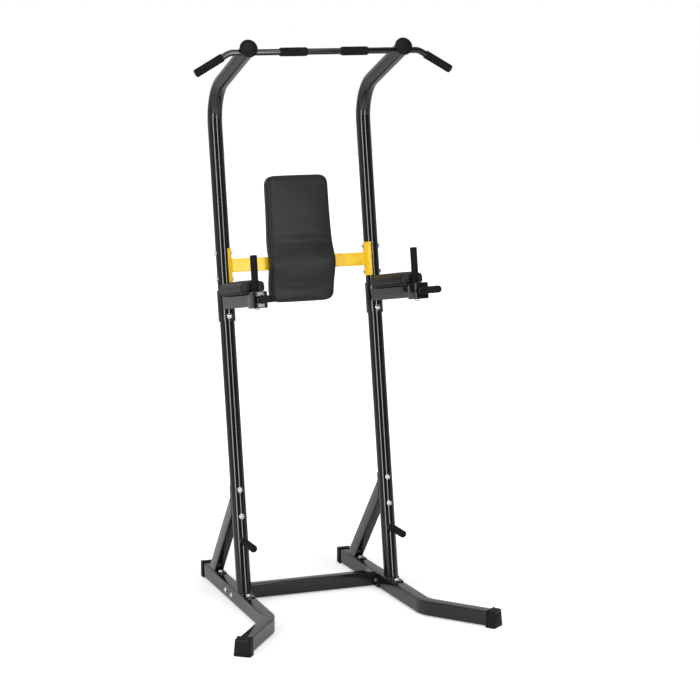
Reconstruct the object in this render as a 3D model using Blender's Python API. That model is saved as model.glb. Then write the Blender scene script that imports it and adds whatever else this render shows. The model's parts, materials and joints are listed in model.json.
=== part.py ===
"""Power tower: a free-standing frame for pull-ups, dips and knee raises.

+X is the user's left-to-right, +Y is the back, +Z is up. The origin is on the floor, in the middle
of the footprint. Sizes are in metres and angles in radians.
"""

import math

import bmesh
import bpy
from mathutils import Matrix, Vector

# ---------------------------------------------------------------- driving dimensions
# whole frame
upright_spacing = 0.650  # between the two upright axes
lean = math.radians(9.83)  # uprights lean back
fit_gap = 0.0003  # between faces that touch
slide_clearance = 0.0003  # round a tube that slides into another

# legs and floor caps
leg_height = 0.060
leg_width = 0.050
leg_wall = 0.002
leg_lift = 0.005  # the caps hold the legs off the floor
leg_toe_out = math.radians(1.2)
leg_behind = 0.541  # upright axis to the rear cap's outer face
leg_ahead = 0.342  # upright axis to the point of the bend
leg_splay = math.radians(36.4)
leg_splay_reach = 0.339  # point of the bend to the front cap's outer face
leg_bend_radius = 0.110
rear_cap_length = 0.033
rear_cap_wall = 0.0032
cap_end_wall = 0.004
foot_cap_length = 0.040
foot_cap_top_wall = 0.004
foot_cap_wall = 0.006
foot_cap_flare = 0.0045  # the front caps grow towards the floor
foot_cap_round = 0.006

# beam between the legs
beam_behind = 0.134  # upright axis to the beam's centre line
beam_depth = 0.040
beam_plate_length = 0.124
beam_plate_thickness = 0.005
beam_bolt_spacing = 0.084
beam_bolt_height = 0.035
vent_radius = 0.004  # lets the closed tubes breathe
corner_outer = 0.0035  # rectangular tubes
corner_inner = 0.0015

# uprights
upright_radius = 0.030
upright_wall = 0.002
base_plate_thickness = 0.004
base_plate_width = 0.050
base_plate_ahead = 0.078
base_plate_behind = 0.038
base_bolt_ahead = 0.056
joint_height = 1.178  # along the upright, where the lower tube ends
spigot_length = 0.110
collar_start = 0.001  # above the joint, on the spigot
collar_end = 0.020
top_rise_angle = math.radians(23.0)  # the bent-over end still climbs
top_bend_radius = 0.170
top_cap_front = Vector((0.0, -0.124, 2.286))  # middle of the cap's face, from the upright's foot
top_cap_radius = 0.036
top_cap_thickness = 0.018
top_cap_plug = 0.004

# rear braces
brace_depth = 0.060
brace_width = 0.040
brace_wall = 0.002
brace_top = 0.378  # along the upright
brace_foot_behind = 0.398
brace_bolt_low = 0.317
brace_bolt_high = 0.426
saddle_wall = 0.003
saddle_half_angle = math.radians(62)
saddle_length = 0.146
brace_plate_width = 0.044
brace_plate_thickness = 0.004
brace_plate_ahead = 0.084
brace_plate_behind = 0.048
brace_bolt_ahead = 0.060

# foot pegs
peg_height = 0.284
peg_length = 0.132
peg_radius = 0.011
peg_wall = 0.002
peg_grip_radius = 0.0150
peg_grip_length = 0.122

# pull-up bar
bar_radius = 0.0125
bar_wall = 0.002
bar_overhang = 0.071  # upright axis to the point of the bend
bar_drop_out = 0.140
bar_drop_down = 0.079
bar_bend_radius = 0.060
bar_behind_cap = 0.036
bar_below_axis = 0.008
bar_grip_radius = 0.0175
bar_grip_length = 0.116
bar_grip_centre = 0.128  # from the middle between the two grips
bar_grip_shift = -0.007  # both grips are pushed a little to the left
end_grip_radius = 0.0165
end_grip_length = 0.125

# backrest
crossbar_height = 0.152  # above the arms, along the upright
crossbar_depth = 0.025
crossbar_tall = 0.055
crossbar_wall = 0.002
crossbar_saddle_wall = 0.004
crossbar_saddle_half_angle = math.radians(70)
crossbar_saddle_length = 0.140
crossbar_bolt_spacing = 0.106
mount_plate_width = 0.090
mount_plate_tall = 0.064
mount_plate_thickness = 0.004
backrest_width = 0.266
backrest_tall = 0.520
backrest_thickness = 0.052
backrest_bottom = -0.010  # below the arms' centre line
backrest_corner = 0.034
backrest_edge = 0.016
lumbar_bulge = 0.015  # the pad bows forward over the crossbar
lumbar_spread = 0.062
tail_tuck = 0.012  # its lower end curves back again
tail_start = 0.105  # above the arms' centre line
tail_run = 0.080

# arms
arm_above_joint = 0.012  # the arms' sleeves wrap the joint
arm_size = 0.050
arm_wall = 0.002
arm_toe_out = math.radians(1.8)
sleeve_wall = 0.0047
sleeve_below = 0.075
sleeve_above = 0.052
sleeve_bolt_below = 0.053
head_front = 0.485  # upright axis to the handle head's face
head_length = 0.073
head_width = 0.060
head_tall = 0.066
head_pocket = 0.056
head_bolt_ahead = 0.434
elbow_start = 0.065
elbow_end = 0.409
elbow_width = 0.100
elbow_board_inset = 0.006
elbow_board_thickness = 0.010
elbow_thickness = 0.042
elbow_corner = 0.026
handle_radius = 0.011
handle_wall = 0.002
upright_handle_ahead = 0.428
upright_handle_top = 0.176  # above the arm's centre line
handle_grip_radius = 0.0143
dip_handle_length = 0.162
grip_end = 0.004
grip_round = 0.004
flange_length = 0.004
dip_grip_flange = 0.003
dip_grip_start = 0.022  # bare rod between the head and the grip

# bolts
shank_radius = 0.004
hole_radius = 0.0045
bolt_head_radius = 0.0095
bolt_head_tall = 0.0075
washer_radius = 0.0110
washer_thick = 0.0016
nut_radius = 0.0070
nut_tall = 0.0065

tube_sides = 16
rod_sides = 12
bolt_sides = 8
arc_steps = 5
sides = (("left", -1), ("right", 1))

# ---------------------------------------------------------------- derived places
leg_top = leg_lift + leg_height
upright_half = upright_spacing / 2
bar_straight_half = upright_half + bar_overhang
arm_height = joint_height + arm_above_joint
sleeve_radius = upright_radius + slide_clearance + sleeve_wall
front_cap_half = leg_width / 2 + foot_cap_wall + foot_cap_flare
foot_heading = leg_toe_out + leg_splay
front_reach = (
    leg_ahead * math.cos(leg_toe_out)
    + (leg_splay_reach - foot_cap_round) * math.cos(foot_heading)
    + (front_cap_half - foot_cap_round) * math.sin(foot_heading)
    + foot_cap_round
)
rear_cap_half = leg_width / 2 + fit_gap + rear_cap_wall
rear_reach = leg_behind * math.cos(leg_toe_out) + rear_cap_half * math.sin(leg_toe_out)
upright_y = (front_reach - rear_reach) / 2


# ---------------------------------------------------------------- tools
def clear_scene():
    for obj in list(bpy.data.objects):
        bpy.data.objects.remove(obj)


def material(name, color, roughness, metallic=0.0):
    mat = bpy.data.materials.new(name)
    mat.use_nodes = True
    shader = mat.node_tree.nodes["Principled BSDF"]
    shader.inputs["Base Color"].default_value = (*color, 1.0)
    shader.inputs["Roughness"].default_value = roughness
    shader.inputs["Metallic"].default_value = metallic
    mat.diffuse_color = (*color, 1.0)
    return mat


def make_object(name, bm, mat=None, place=None):
    bmesh.ops.recalc_face_normals(bm, faces=bm.faces)
    mesh = bpy.data.meshes.new(name)
    bm.to_mesh(mesh)
    bm.free()
    obj = bpy.data.objects.new(name, mesh)
    bpy.context.scene.collection.objects.link(obj)
    obj.matrix_world = place or Matrix.Identity(4)
    if mat:
        mesh.materials.append(mat)
        mesh.shade_smooth()
        mesh.set_sharp_from_angle(angle=math.radians(35))
    return obj


def helper(name, bm, place=None):
    """A solid that only joins or cuts another one."""
    obj = make_object(name, bm, place=place)
    obj.hide_render = True
    obj.display_type = "WIRE"
    return obj


def combine(target, other, operation):
    modifier = target.modifiers.new(other.name, "BOOLEAN")
    modifier.operation = operation
    modifier.solver = "EXACT"
    modifier.object = other
    return target


def circle(radius, count=tube_sides):
    turn = 2 * math.pi / count
    return [(radius * math.cos(turn * i), radius * math.sin(turn * i)) for i in range(count)]


def rounded_rectangle(width, height, radius=0.0, steps=3):
    if not radius:
        return [
            (width / 2, height / 2),
            (-width / 2, height / 2),
            (-width / 2, -height / 2),
            (width / 2, -height / 2),
        ]
    points = []
    for quarter, (sx, sy) in enumerate(((1, 1), (-1, 1), (-1, -1), (1, -1))):
        cx = sx * (width / 2 - radius)
        cy = sy * (height / 2 - radius)
        for step in range(steps + 1):
            angle = math.pi / 2 * (quarter + step / steps)
            points.append((cx + radius * math.cos(angle), cy + radius * math.sin(angle)))
    return points


def bend_path(points, radius=0.0):
    """Places and directions along a line of points, with its corners rounded."""
    points = [Vector(p) for p in points]
    path = [(points[0], (points[1] - points[0]).normalized())]
    for before, corner, after in zip(points, points[1:], points[2:]):
        arrive = (corner - before).normalized()
        leave = (after - corner).normalized()
        turn = arrive.angle(leave)
        tangent = radius * math.tan(turn / 2)
        start = corner - arrive * tangent
        inward = (leave - arrive * arrive.dot(leave)).normalized()
        centre = start + inward * radius
        for step in range(arc_steps + 1):
            angle = turn * step / arc_steps
            heading = arrive * math.cos(angle) + inward * math.sin(angle)
            out = arrive * math.sin(angle) - inward * math.cos(angle)
            path.append((centre + out * radius, heading))
    path.append((points[-1], (points[-1] - points[-2]).normalized()))
    return path


def sweep(path, flat, outer, inner=None, first_plane=None, last_plane=None):
    """Carries an outline along a path. flat is the direction square to the path's plane."""
    bm = bmesh.new()
    rings = []
    for index, (place, heading) in enumerate(path):
        plane = heading
        if index == 0 and first_plane:
            plane = Vector(first_plane)
        if index == len(path) - 1 and last_plane:
            plane = Vector(last_plane)
        across = Vector(flat).normalized()
        up = heading.cross(across).normalized()
        pair = []
        for outline in (outer, inner):
            ring = []
            for a, b in outline or ():
                point = across * a + up * b
                point -= heading * (point.dot(plane) / heading.dot(plane))
                ring.append(bm.verts.new(place + point))
            pair.append(ring)
        rings.append(pair)
    for (outer_a, inner_a), (outer_b, inner_b) in zip(rings, rings[1:]):
        for ring_a, ring_b in ((outer_a, outer_b), (inner_a, inner_b)):
            for i in range(len(ring_a)):
                j = (i + 1) % len(ring_a)
                bm.faces.new((ring_a[i], ring_a[j], ring_b[j], ring_b[i]))
    for outer_ring, inner_ring in (rings[0], rings[-1]):
        if not inner_ring:
            bm.faces.new(outer_ring)
            continue
        for i in range(len(outer_ring)):
            j = (i + 1) % len(outer_ring)
            bm.faces.new((outer_ring[i], outer_ring[j], inner_ring[j], inner_ring[i]))
    return bm


def straight(start, end, flat, outer, inner=None, **planes):
    return sweep(bend_path((start, end)), flat, outer, inner, **planes)


def loft(rings):
    """Skins a list of rings with the same number of points and closes both ends."""
    bm = bmesh.new()
    rows = [[bm.verts.new(point) for point in ring] for ring in rings]
    for row_a, row_b in zip(rows, rows[1:]):
        for i in range(len(row_a)):
            j = (i + 1) % len(row_a)
            bm.faces.new((row_a[i], row_a[j], row_b[j], row_b[i]))
    bm.faces.new(rows[0])
    bm.faces.new(rows[-1])
    return bm


def turned(profile, start, axis, flat, count):
    """Turns (distance along the axis, radius) pairs round an axis; radius 0 ends in a point."""
    bm = bmesh.new()
    axis = Vector(axis).normalized()
    across = Vector(flat).normalized()
    up = axis.cross(across)
    rows = []
    for along, radius in profile:
        centre = Vector(start) + axis * along
        if radius == 0:
            rows.append([bm.verts.new(centre)])
            continue
        rows.append([bm.verts.new(centre + across * a + up * b) for a, b in circle(radius, count)])
    for row_a, row_b in zip(rows, rows[1:] + rows[:1]):
        if len(row_a) == 1 and len(row_b) == 1:
            continue
        for i in range(count):
            j = (i + 1) % count
            corners = [row_a[i % len(row_a)], row_a[j % len(row_a)]]
            corners += [row_b[j % len(row_b)], row_b[i % len(row_b)]]
            bm.faces.new(list(dict.fromkeys(corners)))
    return bm


def box(size, centre):
    bm = bmesh.new()
    bmesh.ops.create_cube(bm, size=1.0)
    bmesh.ops.scale(bm, vec=size, verts=bm.verts)
    bmesh.ops.translate(bm, vec=centre, verts=bm.verts)
    return bm


def merged(pieces):
    """One mesh of several solids that stay clear of each other, such as a set of drills."""
    whole = bmesh.new()
    for piece in pieces:
        mesh = bpy.data.meshes.new("merged")
        piece.to_mesh(mesh)
        piece.free()
        whole.from_mesh(mesh)
        bpy.data.meshes.remove(mesh)
    return whole


def drill(start, axis, length, radius=hole_radius, count=bolt_sides):
    flat = (0, 1, 0) if axis[0] else (1, 0, 0)
    return turned(((0, 0), (0, radius), (length, radius), (length, 0)), start, axis, flat, count)


def saddle(radius, wall, half_angle, length, steps=10):
    """A curved plate round the +X side of a tube that stands along Z, middle at the origin."""
    angles = [half_angle * (2 * i / steps - 1) for i in range(steps + 1)]
    outline = [((radius + wall) * math.cos(a), (radius + wall) * math.sin(a)) for a in angles]
    outline += [(radius * math.cos(a), radius * math.sin(a)) for a in reversed(angles)]
    return loft([[(x, y, z) for x, y in outline] for z in (-length / 2, length / 2)])


def bolt(name, place, start, axis, grip):
    """Dome-headed bolt with its washer and nut; start is the face under the washer."""
    shoulder = math.radians(50)
    profile = [
        (-washer_thick - bolt_head_tall, 0),
        (-washer_thick - bolt_head_tall * math.cos(shoulder), bolt_head_radius * math.sin(shoulder)),
        (-washer_thick, bolt_head_radius),
        (-washer_thick, washer_radius),
        (-fit_gap, washer_radius),
        (-fit_gap, shank_radius),
        (grip + fit_gap, shank_radius),
        (grip + fit_gap, nut_radius),
        (grip + nut_tall, nut_radius),
        (grip + nut_tall, 0),
    ]
    flat = (0, 1, 0) if axis[0] else (1, 0, 0)
    return make_object(name, turned(profile, start, axis, flat, bolt_sides), zinc, place)


def cup_grip(name, place, start, axis, length, bore, radius, flat=(1, 0, 0), flange=0.0):
    """A pushed-on grip: a sleeve with a closed, rounded far end."""
    inner = bore + slide_clearance
    profile = [(0, inner), (0, radius + flange)]
    if flange:
        profile += [(flange_length, radius + flange), (flange_length + flange / 2, radius)]
    profile += [
        (length - grip_round, radius),
        (length, radius - grip_round),
        (length, 0),
        (length - grip_end, 0),
        (length - grip_end, inner),
    ]
    return make_object(name, turned(profile, start, axis, flat, rod_sides), grip_rubber, place)


# ---------------------------------------------------------------- frames of reference
def leg_frame(side):
    """Origin on the floor under the upright; -Y runs along the leg to the front."""
    at = Matrix.Translation((side * upright_half, upright_y, 0))
    return at @ Matrix.Rotation(side * leg_toe_out, 4, "Z")


def upright_frame(side):
    """Origin where the upright's axis meets the leg's top; +Z runs up the upright."""
    at = Matrix.Translation((side * upright_half, upright_y, leg_top))
    return at @ Matrix.Rotation(-lean, 4, "X")


def arm_frame(side):
    """Origin on the upright's axis; -Y runs along the arm to the front."""
    raised = upright_frame(side) @ Matrix.Translation((0, 0, arm_height))
    return raised @ Matrix.Rotation(side * arm_toe_out, 4, "Z")


backrest_frame = (
    Matrix.Translation((0, upright_y, leg_top))
    @ Matrix.Rotation(-lean, 4, "X")
    @ Matrix.Translation((0, 0, arm_height))
)


# ---------------------------------------------------------------- materials
clear_scene()
black_steel = material("black_powder_coat", (0.012, 0.012, 0.013), 0.28)
yellow_steel = material("yellow_powder_coat", (1.0, 0.62, 0.012), 0.35)
zinc = material("zinc_plate", (0.75, 0.75, 0.76), 0.30, 1.0)
cap_plastic = material("cap_plastic", (0.010, 0.010, 0.011), 0.45)
grip_rubber = material("grip_rubber", (0.009, 0.009, 0.009), 0.75)
pad_vinyl = material("pad_vinyl", (0.030, 0.030, 0.031), 0.50)
board_wood = material("pad_board", (0.020, 0.018, 0.016), 0.80)


# ---------------------------------------------------------------- legs and their caps
def leg_points(side):
    heading = Vector((side * math.sin(leg_splay), -math.cos(leg_splay), 0))
    centre = leg_lift + leg_height / 2
    corner = Vector((0, -leg_ahead, centre))
    rear = Vector((0, leg_behind - cap_end_wall - fit_gap, centre))
    front = corner + heading * (leg_splay_reach - cap_end_wall - fit_gap)
    return rear, corner, front, heading


def make_leg(name, side):
    rear, corner, front, _ = leg_points(side)
    outer = rounded_rectangle(leg_height, leg_width, corner_outer, 1)
    inner = rounded_rectangle(leg_height - 2 * leg_wall, leg_width - 2 * leg_wall, corner_inner, 1)
    path = bend_path((rear, corner, front), leg_bend_radius)
    place = leg_frame(side)
    leg = make_object(f"leg_{name}", sweep(path, (0, 0, 1), outer, inner), black_steel, place)
    holes = []
    for offset in (-beam_bolt_spacing / 2, beam_bolt_spacing / 2):
        start = (-leg_width, beam_behind + offset, beam_bolt_height)
        holes.append(drill(start, (1, 0, 0), 2 * leg_width))
    for y in (-base_bolt_ahead, brace_foot_behind - brace_bolt_ahead):
        holes.append(drill((0, y, leg_lift + leg_height / 2), (0, 0, 1), leg_height))
    combine(leg, helper(f"leg_holes_{name}", merged(holes), place), "DIFFERENCE")
    return leg


def make_rear_cap(name, side):
    wall = fit_gap + rear_cap_wall
    end = leg_behind
    start = leg_behind - rear_cap_length
    top = leg_top + wall
    rings = []
    for y, inset in ((start, 0), (end - 0.003, 0), (end, 0.003)):
        outline = rounded_rectangle(leg_width + 2 * wall - 2 * inset, top - 2 * inset, 0.005, 2)
        rings.append([(a, y, top / 2 + b) for a, b in outline])
    cap = make_object(f"rear_foot_cap_{name}", loft(rings), cap_plastic, leg_frame(side))
    pocket_end = leg_behind - cap_end_wall
    size = (leg_width + 2 * fit_gap, pocket_end - start + 0.01, leg_height + 2 * fit_gap)
    middle = (0, (pocket_end + start - 0.01) / 2, leg_lift + leg_height / 2)
    pocket = helper(f"rear_pocket_{name}", box(size, middle), leg_frame(side))
    return combine(cap, pocket, "DIFFERENCE")


def make_foot_cap(name, side):
    """Drafted rubber shoe: its walls spread towards the floor and its front leans out."""
    _, corner, _, heading = leg_points(side)
    across = Vector((0, 0, 1)).cross(heading)
    base = Vector((corner.x, corner.y, 0))
    top = leg_top + foot_cap_top_wall
    rings = []
    half = leg_width / 2 + foot_cap_wall
    for z, flare, inset in ((0, foot_cap_flare, 0.003), (0.003, foot_cap_flare, 0),
                            (top - 0.004, 0, 0), (top, -0.001, 0.003)):
        front = leg_splay_reach - foot_cap_flare + flare - inset
        back = leg_splay_reach - foot_cap_length - flare + inset
        width = 2 * (half + flare - inset)
        middle = base + heading * ((front + back) / 2) + Vector((0, 0, z))
        outline = rounded_rectangle(width, front - back, foot_cap_round, 2)
        rings.append([middle + across * a + heading * b for a, b in outline])
    cap = make_object(f"front_foot_cap_{name}", loft(rings), cap_plastic, leg_frame(side))
    width = leg_width + 2 * fit_gap
    height = leg_height + 2 * fit_gap
    start = corner + heading * (leg_splay_reach - foot_cap_length - 0.02)
    end = corner + heading * (leg_splay_reach - cap_end_wall)
    pocket = straight(start, end, (0, 0, 1), rounded_rectangle(height, width))
    return combine(cap, helper(f"foot_pocket_{name}", pocket, leg_frame(side)), "DIFFERENCE")


def make_cross_beam():
    """Rectangular tube with a flat plate at each end, bolted to the legs' inner sides."""
    height = leg_lift + leg_height / 2
    outer = rounded_rectangle(beam_depth, leg_height, corner_outer, 1)
    inner = rounded_rectangle(beam_depth - 2 * leg_wall, leg_height - 2 * leg_wall, corner_inner, 1)
    plate_x = leg_width / 2 + fit_gap + beam_plate_thickness / 2
    ends = []
    for _, side in sides:
        ends.append(leg_frame(side) @ Vector((-side * plate_x, beam_behind, height)))
    beam = make_object("cross_beam", straight(ends[0], ends[1], (0, 1, 0), outer, inner), black_steel)
    for name, side in sides:
        place = leg_frame(side)
        size = (beam_plate_thickness, beam_plate_length, leg_height)
        plate = box(size, (-side * plate_x, beam_behind, height))
        combine(beam, helper(f"beam_plate_{name}", plate, place), "UNION")
        holes = [drill((-side * 0.05, beam_behind, height), (side, 0, 0), 0.04, vent_radius)]
        for offset in (-beam_bolt_spacing / 2, beam_bolt_spacing / 2):
            start = (-side * 0.05, beam_behind + offset, beam_bolt_height)
            holes.append(drill(start, (side, 0, 0), 0.04))
        combine(beam, helper(f"beam_holes_{name}", merged(holes), place), "DIFFERENCE")
    return beam


# ---------------------------------------------------------------- uprights
def make_lower_upright(name, side):
    """Tube on a base plate, with the foot peg welded to its front."""
    lean_frame = upright_frame(side)
    inner_radius = upright_radius - upright_wall
    level = (0, -math.sin(lean), math.cos(lean))
    foot = (fit_gap + base_plate_thickness / 2) / math.cos(lean)
    body = straight(
        (0, 0, foot), (0, 0, joint_height), (1, 0, 0),
        circle(upright_radius), circle(inner_radius), first_plane=level,
    )
    tube = make_object(f"lower_upright_{name}", body, black_steel, lean_frame)

    plate_size = (base_plate_width, base_plate_ahead + base_plate_behind, base_plate_thickness)
    plate_y = (base_plate_behind - base_plate_ahead) / 2
    plate_z = leg_top + fit_gap + base_plate_thickness / 2
    plate = helper(f"base_plate_{name}", box(plate_size, (0, plate_y, plate_z)), leg_frame(side))
    combine(tube, plate, "UNION")

    surface = peg_start()
    peg = straight(
        surface + Vector((0, 0.010, 0)), surface - Vector((0, peg_length, 0)), (1, 0, 0),
        circle(peg_radius, rod_sides), circle(peg_radius - peg_wall, rod_sides),
    )
    place = Matrix.Translation((side * upright_half, upright_y, 0))
    combine(tube, helper(f"peg_{name}", peg, place), "UNION")

    start = (0, -base_bolt_ahead, leg_top - 0.01)
    hole = helper(f"base_hole_{name}", drill(start, (0, 0, 1), 0.03), leg_frame(side))
    combine(tube, hole, "DIFFERENCE")
    holes = []
    for height in (brace_bolt_low, brace_bolt_high, arm_height - sleeve_bolt_below):
        holes.append(drill((0, -0.05, height), (0, 1, 0), 0.1))
    combine(tube, helper(f"lower_holes_{name}", merged(holes), lean_frame), "DIFFERENCE")
    return tube


def peg_start():
    """Where a level line through the peg's height leaves the front of the leaning upright."""
    rise = peg_height - leg_top
    return Vector((0, rise * math.tan(lean) - upright_radius / math.cos(lean), peg_height))


def top_points():
    """Side view of the upper upright in the upright's own frame: corner, end and direction."""
    climb = Vector((0, -math.cos(top_rise_angle), math.sin(top_rise_angle)))
    up = Vector((0, math.sin(lean), math.cos(lean)))
    foot = Vector((0, 0, leg_top))
    tube_end = top_cap_front - climb * (top_cap_thickness + fit_gap)
    # the corner is where the leaning axis meets the line that runs back down from the cap
    gap = tube_end - foot
    back = (gap.y * up.z - gap.z * up.y) / (climb.y * up.z - climb.z * up.y)
    corner = tube_end - climb * back
    return corner, tube_end, climb


def in_upright_frame(point):
    turned_back = Matrix.Rotation(lean, 4, "X")
    return turned_back @ (Vector(point) - Vector((0, 0, leg_top)))


def bar_axis():
    """Height and place of the pull-up bar, measured from the upright's foot."""
    _, _, climb = top_points()
    below = Vector((0, -math.sin(top_rise_angle), -math.cos(top_rise_angle)))
    return top_cap_front - climb * bar_behind_cap + below * bar_below_axis


def make_upper_upright(name, side):
    """Tube bent over at the top, with a spigot that slides into the lower tube."""
    corner, end = [in_upright_frame(p) for p in top_points()[:2]]
    inner_radius = upright_radius - upright_wall
    path = bend_path(((0, 0, joint_height + fit_gap), corner, end), top_bend_radius)
    bm = sweep(path, (1, 0, 0), circle(upright_radius), circle(inner_radius))
    place = upright_frame(side)
    tube = make_object(f"upper_upright_{name}", bm, black_steel, place)

    holes = []
    for offset in (-crossbar_bolt_spacing / 2, crossbar_bolt_spacing / 2):
        height = arm_height + crossbar_height + offset
        holes.append(drill((-0.05, 0, height), (1, 0, 0), 0.1))
    bar_at = in_upright_frame(bar_axis())
    holes.append(drill((-0.05, bar_at.y, bar_at.z), (1, 0, 0), 0.1, bar_radius + slide_clearance, tube_sides))
    combine(tube, helper(f"upper_holes_{name}", merged(holes), place), "DIFFERENCE")

    # the spigot's collar bites into the tube wall, where the two are welded
    spigot_radius = inner_radius - slide_clearance
    bore = spigot_radius - upright_wall
    collar = inner_radius + upright_wall / 2
    ring = ((-spigot_length, bore), (-spigot_length, spigot_radius), (collar_start, spigot_radius),
            (collar_start, collar), (collar_end, collar), (collar_end, bore))
    shape = turned(ring, (0, 0, joint_height), (0, 0, 1), (1, 0, 0), tube_sides)
    spigot = helper(f"spigot_{name}", shape, place)
    hole = drill((0, -0.05, arm_height - sleeve_bolt_below), (0, 1, 0), 0.1)
    combine(spigot, helper(f"spigot_hole_{name}", hole, place), "DIFFERENCE")
    return combine(tube, spigot, "UNION")


def make_top_cap(name, side):
    """Mushroom plug over the open end of the bent tube."""
    _, _, climb = top_points()
    plug = upright_radius - upright_wall - slide_clearance
    back = top_cap_thickness
    profile = [
        (0, 0), (0.0015, 0.45 * top_cap_radius), (0.0060, 0.88 * top_cap_radius),
        (0.0110, top_cap_radius), (back, top_cap_radius), (back, plug),
        (back + top_cap_plug, plug), (back + top_cap_plug, 0),
    ]
    place = Matrix.Translation((side * upright_half, upright_y, 0))
    cap = turned(profile, top_cap_front, -climb, (1, 0, 0), tube_sides)
    return make_object(f"top_cap_{name}", cap, cap_plastic, place)


# ---------------------------------------------------------------- rear braces
def make_rear_brace(name, side):
    """Sloping tube with a saddle that hugs the upright's back and a plate that sits on the leg."""
    back = upright_radius + fit_gap
    in_leg = Matrix.Translation((0, 0, leg_top)) @ Matrix.Rotation(-lean, 4, "X")
    top = in_leg @ Vector((0, back + saddle_wall / 2, brace_top))
    plate_top = leg_top + fit_gap + brace_plate_thickness
    foot = Vector((0, brace_foot_behind, plate_top - brace_plate_thickness / 2))
    outer = rounded_rectangle(brace_width, brace_depth, corner_outer, 1)
    inner = rounded_rectangle(brace_width - 2 * brace_wall, brace_depth - 2 * brace_wall, corner_inner, 1)
    along_upright_normal = (0, math.cos(lean), -math.sin(lean))
    tube = straight(top, foot, (1, 0, 0), outer, inner,
                    first_plane=along_upright_normal, last_plane=(0, 0, 1))
    brace = make_object(f"rear_brace_{name}", tube, black_steel, leg_frame(side))

    middle = (brace_bolt_low + brace_bolt_high) / 2
    shape = saddle(back, saddle_wall, saddle_half_angle, saddle_length)
    shape.transform(Matrix.Translation((0, 0, middle)) @ Matrix.Rotation(math.pi / 2, 4, "Z"))
    combine(brace, helper(f"brace_saddle_{name}", shape, upright_frame(side)), "UNION")

    size = (brace_plate_width, brace_plate_ahead + brace_plate_behind, brace_plate_thickness)
    centre_y = brace_foot_behind + (brace_plate_behind - brace_plate_ahead) / 2
    plate = box(size, (0, centre_y, plate_top - brace_plate_thickness / 2))
    combine(brace, helper(f"brace_plate_{name}", plate, leg_frame(side)), "UNION")

    holes = [drill((0, brace_foot_behind, leg_top - 0.01), (0, 0, 1), 0.03, vent_radius)]
    bolt_y = brace_foot_behind - brace_bolt_ahead
    holes.append(drill((0, bolt_y, leg_top - 0.01), (0, 0, 1), 0.03))
    combine(brace, helper(f"brace_foot_holes_{name}", merged(holes), leg_frame(side)), "DIFFERENCE")
    holes = [drill((0, 0.01, z), (0, 1, 0), 0.04) for z in (brace_bolt_low, brace_bolt_high)]
    combine(brace, helper(f"brace_top_holes_{name}", merged(holes), upright_frame(side)), "DIFFERENCE")
    return brace


# ---------------------------------------------------------------- pull-up bar
def bar_points():
    middle = bar_axis() + Vector((0, upright_y, 0))
    points = []
    for side in (-1, 1):
        bend = middle + Vector((side * bar_straight_half, 0, 0))
        tip = bend + Vector((side * bar_drop_out, 0, -bar_drop_down))
        points.append((bend, tip))
    return points


def make_pull_up_bar():
    (left_bend, left_tip), (right_bend, right_tip) = bar_points()
    ends = []
    for bend, tip in ((left_bend, left_tip), (right_bend, right_tip)):
        ends.append(tip - (tip - bend).normalized() * (grip_end + fit_gap))
    path = bend_path((ends[0], left_bend, right_bend, ends[1]), bar_bend_radius)
    bm = sweep(path, (0, 1, 0), circle(bar_radius, rod_sides), circle(bar_radius - bar_wall, rod_sides))
    make_object("pull_up_bar", bm, black_steel)

    for (name, side), (bend, tip) in zip(sides, bar_points()):
        outward = (tip - bend).normalized()
        start = tip - outward * end_grip_length
        cup_grip(f"bar_end_grip_{name}", None, start, outward, end_grip_length,
                 bar_radius, end_grip_radius, flat=(0, 1, 0))
        inner = bar_radius + slide_clearance
        half = bar_grip_length / 2
        profile = (
            (-half, inner), (-half, bar_grip_radius - 0.003), (-half + 0.008, bar_grip_radius),
            (half - 0.008, bar_grip_radius), (half, bar_grip_radius - 0.003), (half, inner),
        )
        centre = bar_axis() + Vector((side * bar_grip_centre + bar_grip_shift, upright_y, 0))
        grip = turned(profile, centre, (1, 0, 0), (0, 1, 0), rod_sides)
        make_object(f"bar_grip_{name}", grip, grip_rubber)


# ---------------------------------------------------------------- backrest
def make_crossbar():
    """Yellow tube with a saddle at each end and a mounting plate in the middle."""
    hold = upright_radius + fit_gap
    reach = upright_half - hold - crossbar_saddle_wall / 2
    outer = rounded_rectangle(crossbar_depth, crossbar_tall, corner_outer, 1)
    inner = rounded_rectangle(crossbar_depth - 2 * crossbar_wall,
                              crossbar_tall - 2 * crossbar_wall, corner_inner, 1)
    height = crossbar_height
    bm = straight((-reach, 0, height), (reach, 0, height), (0, 1, 0), outer, inner)
    bar = make_object("backrest_crossbar", bm, yellow_steel, backrest_frame)
    for name, side in sides:
        shape = saddle(hold, crossbar_saddle_wall, crossbar_saddle_half_angle, crossbar_saddle_length)
        if side > 0:
            shape.transform(Matrix.Rotation(math.pi, 4, "Z"))
        shape.transform(Matrix.Translation((side * upright_half, 0, height)))
        combine(bar, helper(f"crossbar_saddle_{name}", shape, backrest_frame), "UNION")
        holes = [drill((side * (upright_half - 0.05), 0, height), (side, 0, 0), 0.04, vent_radius)]
        for offset in (-crossbar_bolt_spacing / 2, crossbar_bolt_spacing / 2):
            start = (side * (upright_half - 0.05), 0, height + offset)
            holes.append(drill(start, (side, 0, 0), 0.04))
        combine(bar, helper(f"crossbar_holes_{name}", merged(holes), backrest_frame), "DIFFERENCE")
    overlap = crossbar_wall / 2
    size = (mount_plate_width, mount_plate_thickness + overlap, mount_plate_tall)
    at = (0, -crossbar_depth / 2 - (mount_plate_thickness - overlap) / 2, height)
    combine(bar, helper("mount_plate", box(size, at), backrest_frame), "UNION")
    return bar


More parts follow.
